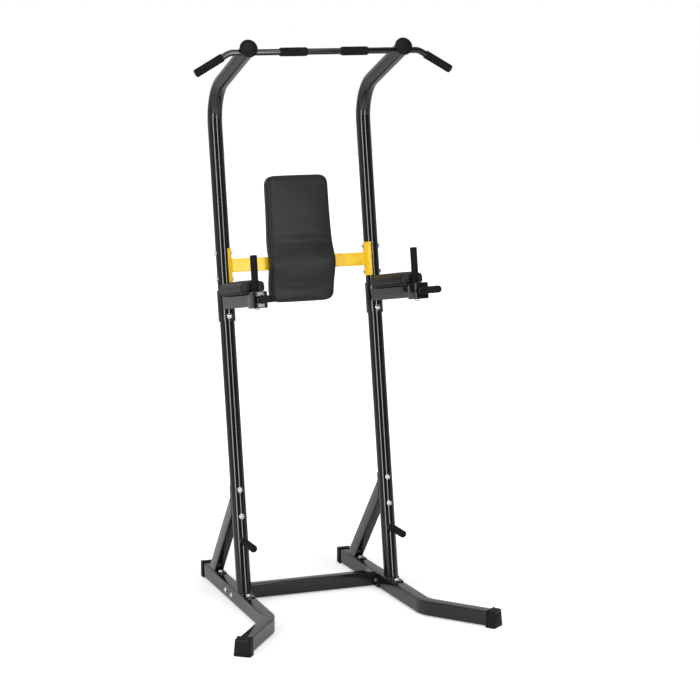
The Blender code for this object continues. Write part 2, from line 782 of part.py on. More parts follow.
def bow(height):
    """How far the pad stands forward of its flat upper part at a height above the arms."""
    away = (height - crossbar_height) / lumbar_spread
    tuck = min(max((tail_start - height) / tail_run, 0), 1)
    return lumbar_bulge * math.exp(-away * away) - tail_tuck * tuck * tuck * (3 - 2 * tuck)


def make_backrest():
    """Bowed pad that touches the mounting plate along the plate's two long edges."""
    plate_front = crossbar_depth / 2 + mount_plate_thickness
    flat_back = plate_front + fit_gap - bow(crossbar_height + mount_plate_tall / 2)
    rings = []
    for along in backrest_stations():
        to_end = min(along, backrest_tall - along)
        inset = quarter_round(backrest_corner, to_end)
        thin = quarter_round(backrest_edge, to_end)
        height = backrest_bottom + along
        width = backrest_width - 2 * min(inset, 0.8 * backrest_corner)
        rings.append(cushion_section(width, backrest_thickness - thin, flat_back + bow(height), height))
    make_object("backrest_pad", loft(rings), pad_vinyl, backrest_frame)


def backrest_stations():
    """Distances up the pad: close together round both ends, a quarter of the plate apart between."""
    ends = [backrest_corner * (1 - math.cos(math.pi / 2 * step / arc_steps)) for step in range(arc_steps + 1)]
    pitch = mount_plate_tall / 4
    middle = crossbar_height - backrest_bottom
    below = math.floor((middle - backrest_corner) / pitch - 0.5)
    above = math.floor((backrest_tall - backrest_corner - middle) / pitch - 0.5)
    stations = ends + [middle + pitch * step for step in range(-below, above + 1)]
    return stations + [backrest_tall - along for along in reversed(ends)]


def quarter_round(radius, distance):
    """Inset of a rounded corner at a distance from its end."""
    run = max(radius - distance, 0)
    return radius - math.sqrt(radius * radius - run * run)


def cushion_section(width, thick, back, height):
    """Cross-section of a pad: flat back, rounded front edges."""
    radius = min(backrest_edge, thick * 0.45)
    points = [(-width / 2, -back, height), (width / 2, -back, height)]
    for side, first in ((1, 0), (-1, 90)):
        for step in range(4):
            angle = math.radians(first + 30 * step)
            x = side * (width / 2 - radius) + radius * math.cos(angle)
            points.append((x, -(back + thick - radius + radius * math.sin(angle)), height))
    return points


# ---------------------------------------------------------------- arms
def make_arm(name, side):
    """Square tube welded to a sleeve that wraps the joint of the upright."""
    place = arm_frame(side)
    ends = [(-sleeve_below, 0), (-sleeve_below, sleeve_radius)]
    ends += [(sleeve_above, sleeve_radius), (sleeve_above, 0)]
    sleeve = turned(ends, (0, 0, 0), (0, 0, 1), (1, 0, 0), tube_sides)
    arm = make_object(f"arm_{name}", sleeve, black_steel, place)
    tube_end = head_front - head_length + head_pocket - fit_gap
    outer = rounded_rectangle(arm_size, arm_size, corner_outer, 1)
    tube = straight((0, -sleeve_radius / 3, 0), (0, -tube_end, 0), (1, 0, 0), outer)
    combine(arm, helper(f"arm_tube_{name}", tube, place), "UNION")
    inner = arm_size - 2 * arm_wall
    channel = straight((0, -sleeve_radius - 0.002, 0), (0, -tube_end - 0.01, 0), (1, 0, 0),
                       rounded_rectangle(inner, inner, corner_inner, 1))
    combine(arm, helper(f"arm_channel_{name}", channel, place), "DIFFERENCE")
    bore = drill((0, 0, -0.1), (0, 0, 1), 0.2, upright_radius + slide_clearance, tube_sides)
    combine(arm, helper(f"arm_bore_{name}", bore, place), "DIFFERENCE")
    # the sleeve's bolt follows the upright, the head's bolt follows the arm
    hole = drill((0, -0.05, arm_height - sleeve_bolt_below), (0, 1, 0), 0.1)
    combine(arm, helper(f"arm_bolt_hole_{name}", hole, upright_frame(side)), "DIFFERENCE")
    hole = drill((0, -head_bolt_ahead, -0.05), (0, 0, 1), 0.05)
    combine(arm, helper(f"arm_head_hole_{name}", hole, place), "DIFFERENCE")
    return arm


def make_handle_head(name, side):
    """Block that caps the arm and carries the upright handle and the dip handle."""
    place = arm_frame(side)
    middle = head_front - head_length / 2
    head = make_object(f"handle_head_{name}", box((head_width, head_length, head_tall), (0, -middle, 0)),
                       black_steel, place)
    pocket_size = arm_size + 2 * fit_gap
    back = head_front - head_length
    size = (pocket_size, head_pocket + 0.02, pocket_size)
    pocket = box(size, (0, -(back + head_pocket / 2 - 0.01), 0))
    combine(head, helper(f"head_pocket_{name}", pocket, place), "DIFFERENCE")
    outline = circle(handle_radius, rod_sides)
    bore = circle(handle_radius - handle_wall, rod_sides)
    upright_end = upright_handle_top - grip_end - fit_gap
    rods = [straight((0, -upright_handle_ahead, head_tall / 2 - 0.002),
                     (0, -upright_handle_ahead, upright_end), (1, 0, 0), outline, bore)]
    dip_end = head_front + dip_handle_length - grip_end - fit_gap
    rods.append(straight((0, -head_front + 0.002, 0), (0, -dip_end, 0), (1, 0, 0), outline, bore))
    combine(head, helper(f"head_rods_{name}", merged(rods), place), "UNION")
    hole = drill((0, -head_bolt_ahead, -0.05), (0, 0, 1), 0.03)
    combine(head, helper(f"head_bolt_hole_{name}", hole, place), "DIFFERENCE")

    start = (0, -upright_handle_ahead, head_tall / 2 + fit_gap)
    cup_grip(f"upright_grip_{name}", place, start, (0, 0, 1), upright_handle_top - start[2],
             handle_radius, handle_grip_radius)
    start = (0, -head_front - dip_grip_start, 0)
    cup_grip(f"dip_grip_{name}", place, start, (0, -1, 0), dip_handle_length - dip_grip_start,
             handle_radius, handle_grip_radius, flange=dip_grip_flange)
    return head


def make_elbow_rest(name, side):
    place = arm_frame(side)
    bottom = arm_size / 2 + fit_gap
    length = elbow_end - elbow_start
    middle = (elbow_end + elbow_start) / 2
    inset = 2 * elbow_board_inset
    outline = rounded_rectangle(elbow_width - inset, length - inset, elbow_corner - elbow_board_inset, 3)
    rings = [[(a, -middle + b, z) for a, b in outline] for z in (bottom, bottom + elbow_board_thickness)]
    make_object(f"elbow_board_{name}", loft(rings), board_wood, place)
    bottom += elbow_board_thickness + fit_gap
    rings = []
    for rise, inset in ((0, 0.003), (0.004, 0), (0.6, 0), (0.86, 0.005), (1, 0.015)):
        z = bottom + (rise if rise < 0.01 else rise * elbow_thickness)
        outline = rounded_rectangle(elbow_width - 2 * inset, length - 2 * inset, elbow_corner - inset / 2, 4)
        rings.append([(a, -middle + b, z) for a, b in outline])
    make_object(f"elbow_pad_{name}", loft(rings), pad_vinyl, place)


# ---------------------------------------------------------------- bolts
def make_bolts(name, side):
    on_upright = upright_frame(side)
    on_leg = leg_frame(side)
    front = -upright_radius
    brace_grip = 2 * upright_radius + fit_gap + saddle_wall
    for level, height in (("low", brace_bolt_low), ("high", brace_bolt_high)):
        bolt(f"brace_bolt_{level}_{name}", on_upright, (0, front, height), (0, 1, 0), brace_grip)
    height = arm_height - sleeve_bolt_below
    bolt(f"sleeve_bolt_{name}", on_upright, (0, -sleeve_radius, height), (0, 1, 0), 2 * sleeve_radius)

    grip = base_plate_thickness + fit_gap + leg_wall
    plate_top = leg_top + fit_gap + base_plate_thickness
    bolt(f"base_bolt_{name}", on_leg, (0, -base_bolt_ahead, plate_top), (0, 0, -1), grip)
    plate_top = leg_top + fit_gap + brace_plate_thickness
    bolt_y = brace_foot_behind - brace_bolt_ahead
    bolt(f"brace_foot_bolt_{name}", on_leg, (0, bolt_y, plate_top), (0, 0, -1), grip)

    grip = leg_width + fit_gap + beam_plate_thickness
    for level, offset in (("front", -beam_bolt_spacing / 2), ("rear", beam_bolt_spacing / 2)):
        start = (side * leg_width / 2, beam_behind + offset, beam_bolt_height)
        bolt(f"beam_bolt_{level}_{name}", on_leg, start, (-side, 0, 0), grip)

    grip = 2 * upright_radius + fit_gap + crossbar_saddle_wall
    for level, offset in (("low", -crossbar_bolt_spacing / 2), ("high", crossbar_bolt_spacing / 2)):
        start = (side * upright_radius, 0, arm_height + crossbar_height + offset)
        bolt(f"crossbar_bolt_{level}_{name}", on_upright, start, (-side, 0, 0), grip)

    grip = (head_tall - arm_size) / 2 + arm_wall
    bolt(f"head_bolt_{name}", arm_frame(side), (0, -head_bolt_ahead, -head_tall / 2), (0, 0, 1), grip)


# ---------------------------------------------------------------- assembly
make_cross_beam()
make_pull_up_bar()
make_crossbar()
make_backrest()
for side_name, side_sign in sides:
    make_leg(side_name, side_sign)
    make_rear_cap(side_name, side_sign)
    make_foot_cap(side_name, side_sign)
    make_lower_upright(side_name, side_sign)
    peg_origin = Matrix.Translation((side_sign * upright_half, upright_y, 0))
    peg_root = peg_start() - Vector((0, peg_length - peg_grip_length + grip_end + fit_gap, 0))
    cup_grip(f"peg_grip_{side_name}", peg_origin, peg_root, (0, -1, 0), peg_grip_length,
             peg_radius, peg_grip_radius)
    make_rear_brace(side_name, side_sign)
    make_upper_upright(side_name, side_sign)
    make_top_cap(side_name, side_sign)
    make_arm(side_name, side_sign)
    make_handle_head(side_name, side_sign)
    make_elbow_rest(side_name, side_sign)
    make_bolts(side_name, side_sign)
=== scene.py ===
import json
import math

import bpy
from mathutils import Matrix, Vector

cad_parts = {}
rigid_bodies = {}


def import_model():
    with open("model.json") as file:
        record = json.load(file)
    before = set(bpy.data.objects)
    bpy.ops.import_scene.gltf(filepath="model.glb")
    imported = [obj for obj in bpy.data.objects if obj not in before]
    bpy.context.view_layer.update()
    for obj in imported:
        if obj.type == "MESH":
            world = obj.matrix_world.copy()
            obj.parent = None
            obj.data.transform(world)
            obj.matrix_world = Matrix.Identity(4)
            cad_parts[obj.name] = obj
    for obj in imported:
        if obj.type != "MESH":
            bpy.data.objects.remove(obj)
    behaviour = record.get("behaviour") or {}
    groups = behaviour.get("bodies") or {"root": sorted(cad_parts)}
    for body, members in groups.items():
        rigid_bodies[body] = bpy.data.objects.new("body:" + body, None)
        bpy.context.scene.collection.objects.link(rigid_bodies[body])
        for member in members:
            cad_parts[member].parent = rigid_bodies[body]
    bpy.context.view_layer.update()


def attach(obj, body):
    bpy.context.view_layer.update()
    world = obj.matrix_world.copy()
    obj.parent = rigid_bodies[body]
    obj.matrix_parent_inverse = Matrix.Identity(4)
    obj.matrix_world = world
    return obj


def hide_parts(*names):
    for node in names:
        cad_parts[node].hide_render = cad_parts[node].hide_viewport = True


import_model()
bpy.ops.object.select_all(action="DESELECT")
print("frame loaded")

# the tower's own layout, in metres and degrees; +Z up, -Y to the front
tower = {
    "halfSpacing": 0.325,
    "uprightY": 0.04414,
    "lean": 9.83,
    "legTop": 0.065,
    "legToe": 1.2,
    "armHeight": 1.190,
    "armToe": 1.8,
    "tubeRadius": 0.030,
    "gap": 0.0003,
    "gripEnd": 0.0043,  # closed end of a rubber grip, past its rod
}

leanBack = Matrix.Rotation(-math.radians(tower["lean"]), 4, "X")
footSpot = Matrix.Translation((tower["halfSpacing"], tower["uprightY"], 0))
legPlace = footSpot @ Matrix.Rotation(math.radians(tower["legToe"]), 4, "Z")
uprightPlace = footSpot @ Matrix.Translation((0, 0, tower["legTop"])) @ leanBack
armPlace = (
    uprightPlace
    @ Matrix.Translation((0, 0, tower["armHeight"]))
    @ Matrix.Rotation(math.radians(tower["armToe"]), 4, "Z")
)
backPlace = (
    Matrix.Translation((0, tower["uprightY"], tower["legTop"]))
    @ leanBack
    @ Matrix.Translation((0, 0, tower["armHeight"]))
)


# an empty mesh, left open in edit mode
def startPiece(name):
    bpy.ops.object.select_all(action="DESELECT")
    piece = bpy.data.objects.new(name, bpy.data.meshes.new(name))
    bpy.context.scene.collection.objects.link(piece)
    piece.select_set(True)
    bpy.context.view_layer.objects.active = piece
    bpy.ops.object.mode_set(mode="EDIT")
    bpy.ops.mesh.select_mode(type="VERT")
    return piece


def facing(direction):
    return Vector((0, 0, 1)).rotation_difference(Vector(direction)).to_euler()


def pushFace(step):
    bpy.ops.mesh.extrude_region_move(TRANSFORM_OT_translate={"value": tuple(step)})


def scaleFace(factors, centre):
    bpy.ops.transform.resize(value=tuple(factors), center_override=tuple(centre))


# a flat rectangle to push along; width runs along X, height along Z or Y
def rectangle(centre, width, height, corner=0.0, upright=True, segments=4):
    bpy.ops.mesh.select_all(action="DESELECT")
    turn = (math.pi / 2, 0, 0) if upright else (0, 0, 0)
    bpy.ops.mesh.primitive_plane_add(size=1, location=tuple(centre), rotation=turn)
    scaleFace((width, 1, height) if upright else (width, height, 1), centre)
    if corner:
        bpy.ops.mesh.bevel(offset=corner, segments=segments, affect="VERTICES")
        growToShell()


# the shell that holds what is selected
def growToShell():
    bpy.ops.mesh.select_linked()


def disc(centre, radius, direction, sides=48):
    bpy.ops.mesh.select_all(action="DESELECT")
    bpy.ops.mesh.primitive_circle_add(
        vertices=sides, radius=radius, fill_type="NGON", location=tuple(centre), rotation=facing(direction)
    )


# pushes the selected end along a line of points, spinning round each corner
def runAlong(points, bendRadius, bendSteps):
    points = [Vector(p) for p in points]
    at = points[0]
    for before, corner, after in zip(points, points[1:], points[2:]):
        arrive = (corner - before).normalized()
        leave = (after - corner).normalized()
        turn = arrive.angle(leave)
        tangent = bendRadius * math.tan(turn / 2)
        bendStart = corner - arrive * tangent
        pushFace(bendStart - at)
        axis = arrive.cross(leave).normalized()
        centre = bendStart + axis.cross(arrive) * bendRadius
        bpy.ops.mesh.spin(steps=bendSteps, angle=-turn, center=tuple(centre), axis=tuple(axis))
        at = corner + leave * tangent
    pushFace(points[-1] - at)


# turned shape: pairs of distance along the axis and radius
def turnShape(start, axis, profile, sides=40):
    start, axis = Vector(start), Vector(axis).normalized()
    disc(start + axis * profile[0][0], profile[0][1], axis, sides)
    for (lastAlong, lastRadius), (along, radius) in zip(profile, profile[1:]):
        pushFace(axis * (along - lastAlong))
        if radius != lastRadius:
            factor = radius / lastRadius
            scaleFace((factor, factor, factor), start + axis * along)


# hollow ring round the local Z axis, from a bevelled rectangle
def hollowRing(inner, outer, low, high, edge=0.0008, steps=56):
    centre = ((inner + outer) / 2, 0, (low + high) / 2)
    rectangle(centre, outer - inner, high - low, edge, segments=3)
    bpy.ops.mesh.delete(type="ONLY_FACE")
    bpy.ops.mesh.select_all(action="SELECT")
    bpy.ops.mesh.spin(steps=steps, angle=2 * math.pi, center=(0, 0, 0), axis=(0, 0, 1))
    bpy.ops.mesh.select_all(action="SELECT")
    bpy.ops.mesh.remove_doubles(threshold=0.00001)


def block(centre, size, edge=0.0, segments=3):
    bpy.ops.mesh.select_all(action="DESELECT")
    bpy.ops.mesh.primitive_cube_add(size=1, location=tuple(centre))
    scaleFace(size, centre)
    if edge:
        bpy.ops.mesh.bevel(offset=edge, segments=segments, affect="EDGES")


# plate with rounded corners, flat on XY
def plate(centre, width, length, thickness, corner, edge=0.0006):
    low = Vector(centre) - Vector((0, 0, thickness / 2))
    rectangle(low, width - 2 * edge, length - 2 * edge, corner, upright=False)
    flatX, flatY = width / (width - 2 * edge), length / (length - 2 * edge)
    pushFace((0, 0, edge))
    scaleFace((flatX, flatY, 1), low)
    pushFace((0, 0, thickness - 2 * edge))
    pushFace((0, 0, edge))
    scaleFace((1 / flatX, 1 / flatY, 1), low)


# fillet weld round a rod or tube
def weldBead(start, axis, radius, size, sides=48):
    shape = ((0, 1), (0.25, 0.93), (0.6, 0.6), (0.9, 0.25))
    profile = [(along * size, radius + out * size) for along, out in shape] + [(size, radius - 0.0002)]
    turnShape(start, axis, profile, sides)


def closePiece(piece, place=None, smoothAngle=32):
    bpy.ops.mesh.select_all(action="SELECT")
    bpy.ops.mesh.remove_doubles(threshold=0.000005)
    bpy.ops.mesh.normals_make_consistent(inside=False)
    bpy.ops.object.mode_set(mode="OBJECT")
    if place is not None:
        piece.matrix_world = place
        bpy.ops.object.transform_apply(location=True, rotation=True, scale=True)
    bpy.ops.object.shade_smooth_by_angle(angle=math.radians(smoothAngle))


# the same piece on the tower's other side; the mirror turns its faces, so they are turned back
def mirrored(piece, name):
    bpy.ops.object.select_all(action="DESELECT")
    other = piece.copy()
    other.data = piece.data.copy()
    other.name = other.data.name = name
    bpy.context.scene.collection.objects.link(other)
    other.select_set(True)
    bpy.context.view_layer.objects.active = other
    other.matrix_world = Matrix.Scale(-1, 4, (1, 0, 0)) @ other.matrix_world
    bpy.ops.object.transform_apply(location=True, rotation=True, scale=True)
    bpy.ops.object.mode_set(mode="EDIT")
    bpy.ops.mesh.select_all(action="SELECT")
    bpy.ops.mesh.normals_make_consistent(inside=False)
    bpy.ops.object.mode_set(mode="OBJECT")
    return other


# gives a piece its material, puts it on the root body and hides the CAD nodes that it stands for
def fit(piece, material, slotName, *nodes):
    piece.data.materials.clear()
    piece.data.materials.append(material)
    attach(piece, "root")
    if nodes:
        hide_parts(*nodes)


# both sides of a piece that was modelled on the right
def fitPair(piece, material, slotName, node=None):
    stem = piece.name[: -len("_right")]
    other = mirrored(piece, stem + "_left")
    fit(piece, material, slotName, *([node + "_right"] if node else []))
    fit(other, material, slotName, *([node + "_left"] if node else []))
    return piece, other


# sRGB hex value to linear
def linear(hexColour):
    parts = [int(hexColour[i : i + 2], 16) / 255 for i in (1, 3, 5)]
    return (*[p / 12.92 if p <= 0.04045 else ((p + 0.055) / 1.055) ** 2.4 for p in parts], 1)


# settings name a socket or a property; stops are the two ends of a colour ramp
def addNode(tree, kind, settings=None, links=None):
    made = tree.nodes.new("ShaderNode" + kind)
    for name, value in (settings or {}).items():
        if name == "stops":
            for element, (position, colour) in zip(made.color_ramp.elements, value):
                element.position = position
                element.color = colour
        elif isinstance(name, int) or name in made.inputs:
            made.inputs[name].default_value = value
        else:
            setattr(made, name, value)
    for name, source in (links or {}).items():
        tree.links.new(source, made.inputs[name])
    return made


def startMaterial(name, settings):
    made = bpy.data.materials.new(name)
    made.use_nodes = True
    tree = made.node_tree
    shader = tree.nodes["Principled BSDF"]
    for key, value in settings.items():
        shader.inputs[key].default_value = value
    return made, tree, shader, tree.nodes.new("ShaderNodeTexCoord").outputs["Object"]


def grey(value):
    return (value, value, value, 1)


# joins colour, roughness and surface to the shader; below, the mm beside a texture is its real size
def joinUp(tree, shader, tint, dull, bump):
    tree.links.new(tint.outputs["Color"], shader.inputs["Base Color"])
    tree.links.new(dull.outputs["Color"], shader.inputs["Roughness"])
    tree.links.new(bump.outputs["Normal"], shader.inputs["Normal"])


# polyester powder coat on steel, sprayed and baked: glassy, with a slight orange peel
def powderCoat(name, hexDark, hexLight, roughLow, roughHigh):
    made, tree, shader, place = startMaterial(name, {"Metallic": 0.0, "IOR": 1.52})
    cloud = addNode(tree, "TexNoise", {"Scale": 9.0, "Detail": 3.0}, {"Vector": place})  # 110 mm
    tint = addNode(tree, "ValToRGB", {"stops": ((0.35, linear(hexDark)), (0.65, linear(hexLight)))},
                   {"Fac": cloud.outputs["Fac"]})
    dull = addNode(tree, "ValToRGB", {"stops": ((0.3, grey(roughLow)), (0.7, grey(roughHigh)))},
                   {"Fac": cloud.outputs["Fac"]})
    peel = addNode(tree, "TexNoise", {"Scale": 420.0, "Detail": 1.0}, {"Vector": place})  # 2.4 mm
    bump = addNode(tree, "Bump", {"Strength": 0.012, "Distance": 0.0004}, {"Height": peel.outputs["Fac"]})
    joinUp(tree, shader, tint, dull, bump)
    return made


# electroplated zinc, bright-dipped: pale metal with a faint grain from rolling and tumbling
def zincPlate():
    made, tree, shader, place = startMaterial("brightZincPlate", {"Metallic": 1.0})
    cloud = addNode(tree, "TexNoise", {"Scale": 260.0, "Detail": 4.0}, {"Vector": place})  # 4 mm
    tint = addNode(tree, "ValToRGB", {"stops": ((0.3, linear("#C9CCD0")), (0.7, linear("#E9EAEC")))},
                   {"Fac": cloud.outputs["Fac"]})
    dull = addNode(tree, "ValToRGB", {"stops": ((0.3, grey(0.24)), (0.7, grey(0.38)))},
                   {"Fac": cloud.outputs["Fac"]})
    scuff = addNode(tree, "TexNoise", {"Scale": 1500.0, "Detail": 2.0}, {"Vector": place})  # 0.7 mm
    bump = addNode(tree, "Bump", {"Strength": 0.12, "Distance": 0.0002}, {"Height": scuff.outputs["Fac"]})
    joinUp(tree, shader, tint, dull, bump)
    return made


# injection-moulded PVC from a spark-eroded mould: even satin black with a fine 0.8 mm grain
def mouldedPvc():
    made, tree, shader, place = startMaterial("mouldedPvc", {"IOR": 1.45, "Specular IOR Level": 0.2})
    cloud = addNode(tree, "TexNoise", {"Scale": 30.0, "Detail": 4.0}, {"Vector": place})  # 33 mm
    tint = addNode(tree, "ValToRGB", {"stops": ((0.35, linear("#0A0A0B")), (0.7, linear("#101011")))},
                   {"Fac": cloud.outputs["Fac"]})
    dull = addNode(tree, "ValToRGB", {"stops": ((0.3, grey(0.46)), (0.7, grey(0.58)))},
                   {"Fac": cloud.outputs["Fac"]})
    grain = addNode(tree, "TexNoise", {"Scale": 1250.0, "Detail": 2.0}, {"Vector": place})  # 0.8 mm
    bump = addNode(tree, "Bump", {"Strength": 0.25, "Distance": 0.0002}, {"Height": grain.outputs["Fac"]})
    joinUp(tree, shader, tint, dull, bump)
    return made


# dipped and extruded PVC rubber with a knurled skin: dull black that breaks up highlights
def knurledRubber():
    made, tree, shader, place = startMaterial("knurledGripRubber", {"IOR": 1.45, "Specular IOR Level": 0.22})
    cells = addNode(tree, "TexVoronoi", {"Scale": 480.0}, {"Vector": place})  # 2 mm knurl
    # the colour darkens towards the cell edges, where the bump sinks the knurl's grooves: painted shade in the
    # hollows
    tint = addNode(tree, "ValToRGB", {"stops": ((0.1, linear("#0E0E0E")), (0.8, linear("#080808")))},
                   {"Fac": cells.outputs["Distance"]})
    cloud = addNode(tree, "TexNoise", {"Scale": 60.0, "Detail": 3.0}, {"Vector": place})  # 17 mm
    dull = addNode(tree, "ValToRGB", {"stops": ((0.3, grey(0.62)), (0.7, grey(0.78)))},
                   {"Fac": cloud.outputs["Fac"]})
    bump = addNode(
        tree, "Bump", {"Strength": 0.45, "Distance": 0.0005, "invert": True},
        {"Height": cells.outputs["Distance"]},
    )
    joinUp(tree, shader, tint, dull, bump)
    return made


# PVC synthetic leather, embossed by a roller: soft satin with a 1.4 mm pebble grain
def syntheticLeather(name, hexDark, hexLight):
    made, tree, shader, place = startMaterial(name, {"IOR": 1.45, "Specular IOR Level": 0.38})
    pebble = addNode(tree, "TexVoronoi", {"Scale": 700.0, "feature": "SMOOTH_F1"}, {"Vector": place})
    cloud = addNode(tree, "TexNoise", {"Scale": 14.0, "Detail": 5.0}, {"Vector": place})  # 70 mm
    tint = addNode(tree, "ValToRGB", {"stops": ((0.3, linear(hexDark)), (0.7, linear(hexLight)))},
                   {"Fac": cloud.outputs["Fac"]})
    dull = addNode(tree, "ValToRGB", {"stops": ((0.1, grey(0.40)), (0.7, grey(0.52)))},
                   {"Fac": pebble.outputs["Distance"]})
    crease = addNode(tree, "TexNoise", {"Scale": 55.0, "Detail": 4.0}, {"Vector": place})  # 18 mm
    grain = addNode(
        tree, "Bump", {"Strength": 0.30, "Distance": 0.0004, "invert": True},
        {"Height": pebble.outputs["Distance"]},
    )
    bump = addNode(
        tree, "Bump", {"Strength": 0.10, "Distance": 0.002},
        {"Height": crease.outputs["Fac"], "Normal": grain.outputs["Normal"]},
    )
    joinUp(tree, shader, tint, dull, bump)
    return made


# black-stained birch plywood: veneers 1.4 mm thick show as lines on the edge
def stainedPlywood():
    made, tree, shader, place = startMaterial("stainedPlywood", {"IOR": 1.5})
    veneer = addNode(
        tree, "TexWave",
        {"Scale": 110.0, "Distortion": 1.2, "Detail": 2.0, "bands_direction": "Z"}, {"Vector": place},
    )
    tint = addNode(tree, "ValToRGB", {"stops": ((0.2, linear("#0D0C0A")), (0.8, linear("#181512")))},
                   {"Fac": veneer.outputs["Fac"]})
    fibre = addNode(tree, "TexNoise", {"Scale": 400.0, "Detail": 5.0}, {"Vector": place})  # 2.5 mm
    dull = addNode(tree, "ValToRGB", {"stops": ((0.3, grey(0.65)), (0.7, grey(0.85)))},
                   {"Fac": fibre.outputs["Fac"]})
    bump = addNode(tree, "Bump", {"Strength": 0.3, "Distance": 0.0004}, {"Height": fibre.outputs["Fac"]})
    joinUp(tree, shader, tint, dull, bump)
    return made


blackCoat = powderCoat("blackPowderCoatedSteel", "#111112", "#151516", 0.09, 0.13)
yellowCoat = powderCoat("yellowPowderCoatedSteel", "#FBC70C", "#FFD21C", 0.30, 0.38)
zinc = zincPlate()
pvc = mouldedPvc()
rubber = knurledRubber()
vinyl = syntheticLeather("blackSyntheticLeather", "#161617", "#1A1A1B")
# the piping is the cover's vinyl painted lighter: a painted highlight along the cords
pipingWithPaintedHighlight = syntheticLeather("pipingSyntheticLeather", "#1C1C1D", "#222223")
plywood = stainedPlywood()
print("materials made")

# floor legs: 60 x 50 mm rectangular tube, bent outwards at the front
leg = {
    "width": 0.050, "height": 0.060, "corner": 0.0035, "middleZ": 0.035,
    "rearY": 0.5367, "bendY": -0.342, "splay": 36.4, "reach": 0.3347, "bendRadius": 0.110,
}
splayTurn = math.radians(leg["splay"])
splayHeading = Vector((math.sin(splayTurn), -math.cos(splayTurn), 0))


def makeLeg():
    piece = startPiece("floorLeg_right")
    start = Vector((0, leg["rearY"], leg["middleZ"]))
    bend = Vector((0, leg["bendY"], leg["middleZ"]))
    rectangle(start, leg["width"], leg["height"], leg["corner"])
    runAlong([start, bend, bend + splayHeading * leg["reach"]], leg["bendRadius"], 18)
    closePiece(piece, legPlace)
    fitPair(piece, blackCoat, "black_steel", "leg")


frontCap = {
    "outer": 0.339, "length": 0.040, "halfWidth": 0.031, "flare": 0.0045, "round": 0.006, "top": 0.069,
    "lip": 0.0012, "lipLength": 0.005,
    "sole": ((0, 0.003), (0.0012, 0.0010), (0.003, 0)),  # height and inset
    # distance below the top, spread and inset
    "crown": ((0.005, 0, 0), (0.0022, -0.0003, 0.0007), (0.0006, -0.0006, 0.0020), (0, -0.001, 0.0036)),
}


def makeFrontCap():
    piece = startPiece("frontFloorCap_right")
    half, flare, top = frontCap["halfWidth"], frontCap["flare"], frontCap["top"]
    rows = [(z, flare, inset) for z, inset in frontCap["sole"]]
    rows += [(top - down, spread, inset) for down, spread, inset in frontCap["crown"]]
    levels = []
    for z, spread, inset in rows:
        front = frontCap["outer"] - flare + spread - inset
        back = frontCap["outer"] - frontCap["length"] - spread + inset
        levels.append((z, 2 * (half + spread - inset), front - back, -(front + back) / 2))
    z, width, length, middle = levels[0]
    rectangle((0, middle, z), width, length, frontCap["round"], upright=False, segments=5)
    for low, high in zip(levels, levels[1:]):
        pushFace((0, high[3] - low[3], high[0] - low[0]))
        scaleFace((high[1] / low[1], high[2] / low[2], 1), (0, high[3], high[0]))
    # thicker lip round the mouth of the cap
    lip, mouth = frontCap["lip"], frontCap["outer"] - frontCap["length"] - 0.001
    block((0, -mouth - frontCap["lipLength"] / 2, (top + 0.001) / 2 + 0.001),
          (2 * (half + 0.0005 + lip), frontCap["lipLength"], top - 0.001 + lip), 0.0018, 3)
    cornerPlace = legPlace @ Matrix.Translation((0, leg["bendY"], 0)) @ Matrix.Rotation(splayTurn, 4, "Z")
    closePiece(piece, cornerPlace)
    fitPair(piece, pvc, "cap_plastic", "front_foot_cap")


rearCap = {
    "outer": 0.541, "length": 0.033, "width": 0.057, "top": 0.0685, "edge": 0.0035, "lip": 0.0008,
    "lipLength": 0.0045,
}


def makeRearCap():
    piece = startPiece("rearFloorCap_right")
    width, top, length = rearCap["width"], rearCap["top"], rearCap["length"]
    block((0, rearCap["outer"] - length / 2, top / 2), (width, length, top), rearCap["edge"], 4)
    lip = rearCap["lip"]
    block((0, rearCap["outer"] - length + 0.0025, top / 2 + lip / 2),
          (width + 2 * lip, rearCap["lipLength"], top + lip), 0.0016, 3)
    closePiece(piece, legPlace)
    fitPair(piece, pvc, "cap_plastic", "rear_foot_cap")


# beam between the legs, with a plate bolted to each of them
beam = {
    "behind": 0.134, "depth": 0.040, "height": 0.060, "corner": 0.0035,
    "plateLength": 0.124, "plateThickness": 0.005, "weld": 0.003, "boltOffset": 0.042,
}


def makeBeam():
    piece = startPiece("crossBeam")
    plateX = leg["width"] / 2 + tower["gap"] + beam["plateThickness"] / 2
    end = legPlace @ Vector((-plateX, beam["behind"], leg["middleZ"]))
    rectangle((0, end.y, leg["middleZ"]), beam["depth"], beam["height"], beam["corner"])
    bpy.ops.transform.rotate(value=math.pi / 2, orient_axis="Z", center_override=(0, end.y, leg["middleZ"]))
    bpy.ops.transform.translate(value=(-end.x, 0, 0))
    pushFace((2 * end.x, 0, 0))
    closePiece(piece)
    fit(piece, blackCoat, "black_steel", "cross_beam")

    plates = startPiece("beamPlate_right")
    block((-plateX, beam["behind"], leg["middleZ"]),
          (beam["plateThickness"], beam["plateLength"], beam["height"]), 0.0010, 2)
    # weld between the plate and the beam
    weld = beam["weld"]
    face = -plateX - beam["plateThickness"] / 2
    for offset in (-beam["depth"] / 2, beam["depth"] / 2):
        bar = (face - weld / 2 + 0.0005, beam["behind"] + offset, leg["middleZ"])
        block(bar, (weld + 0.001, weld, beam["height"] - 0.008), 0.0013, 3)
    closePiece(plates, legPlace)
    fitPair(plates, blackCoat, "black_steel")


# lower uprights: tube, base plate and foot peg
lower = {
    "top": 1.178, "foot": 0.003, "footWeld": 0.0036,
    "plateWidth": 0.050, "plateAhead": 0.078, "plateBehind": 0.038, "plateThickness": 0.004, "boltAhead": 0.056,
    "pegHeight": 0.284, "pegLength": 0.132, "pegRadius": 0.011, "pegRun": 0.142, "pegWeld": 0.0035,
    "pegGripRadius": 0.0150, "pegGripLength": 0.122,
}
pegRoot = Vector((0, 0.00750, lower["pegHeight"]))  # where the peg leaves the upright's front


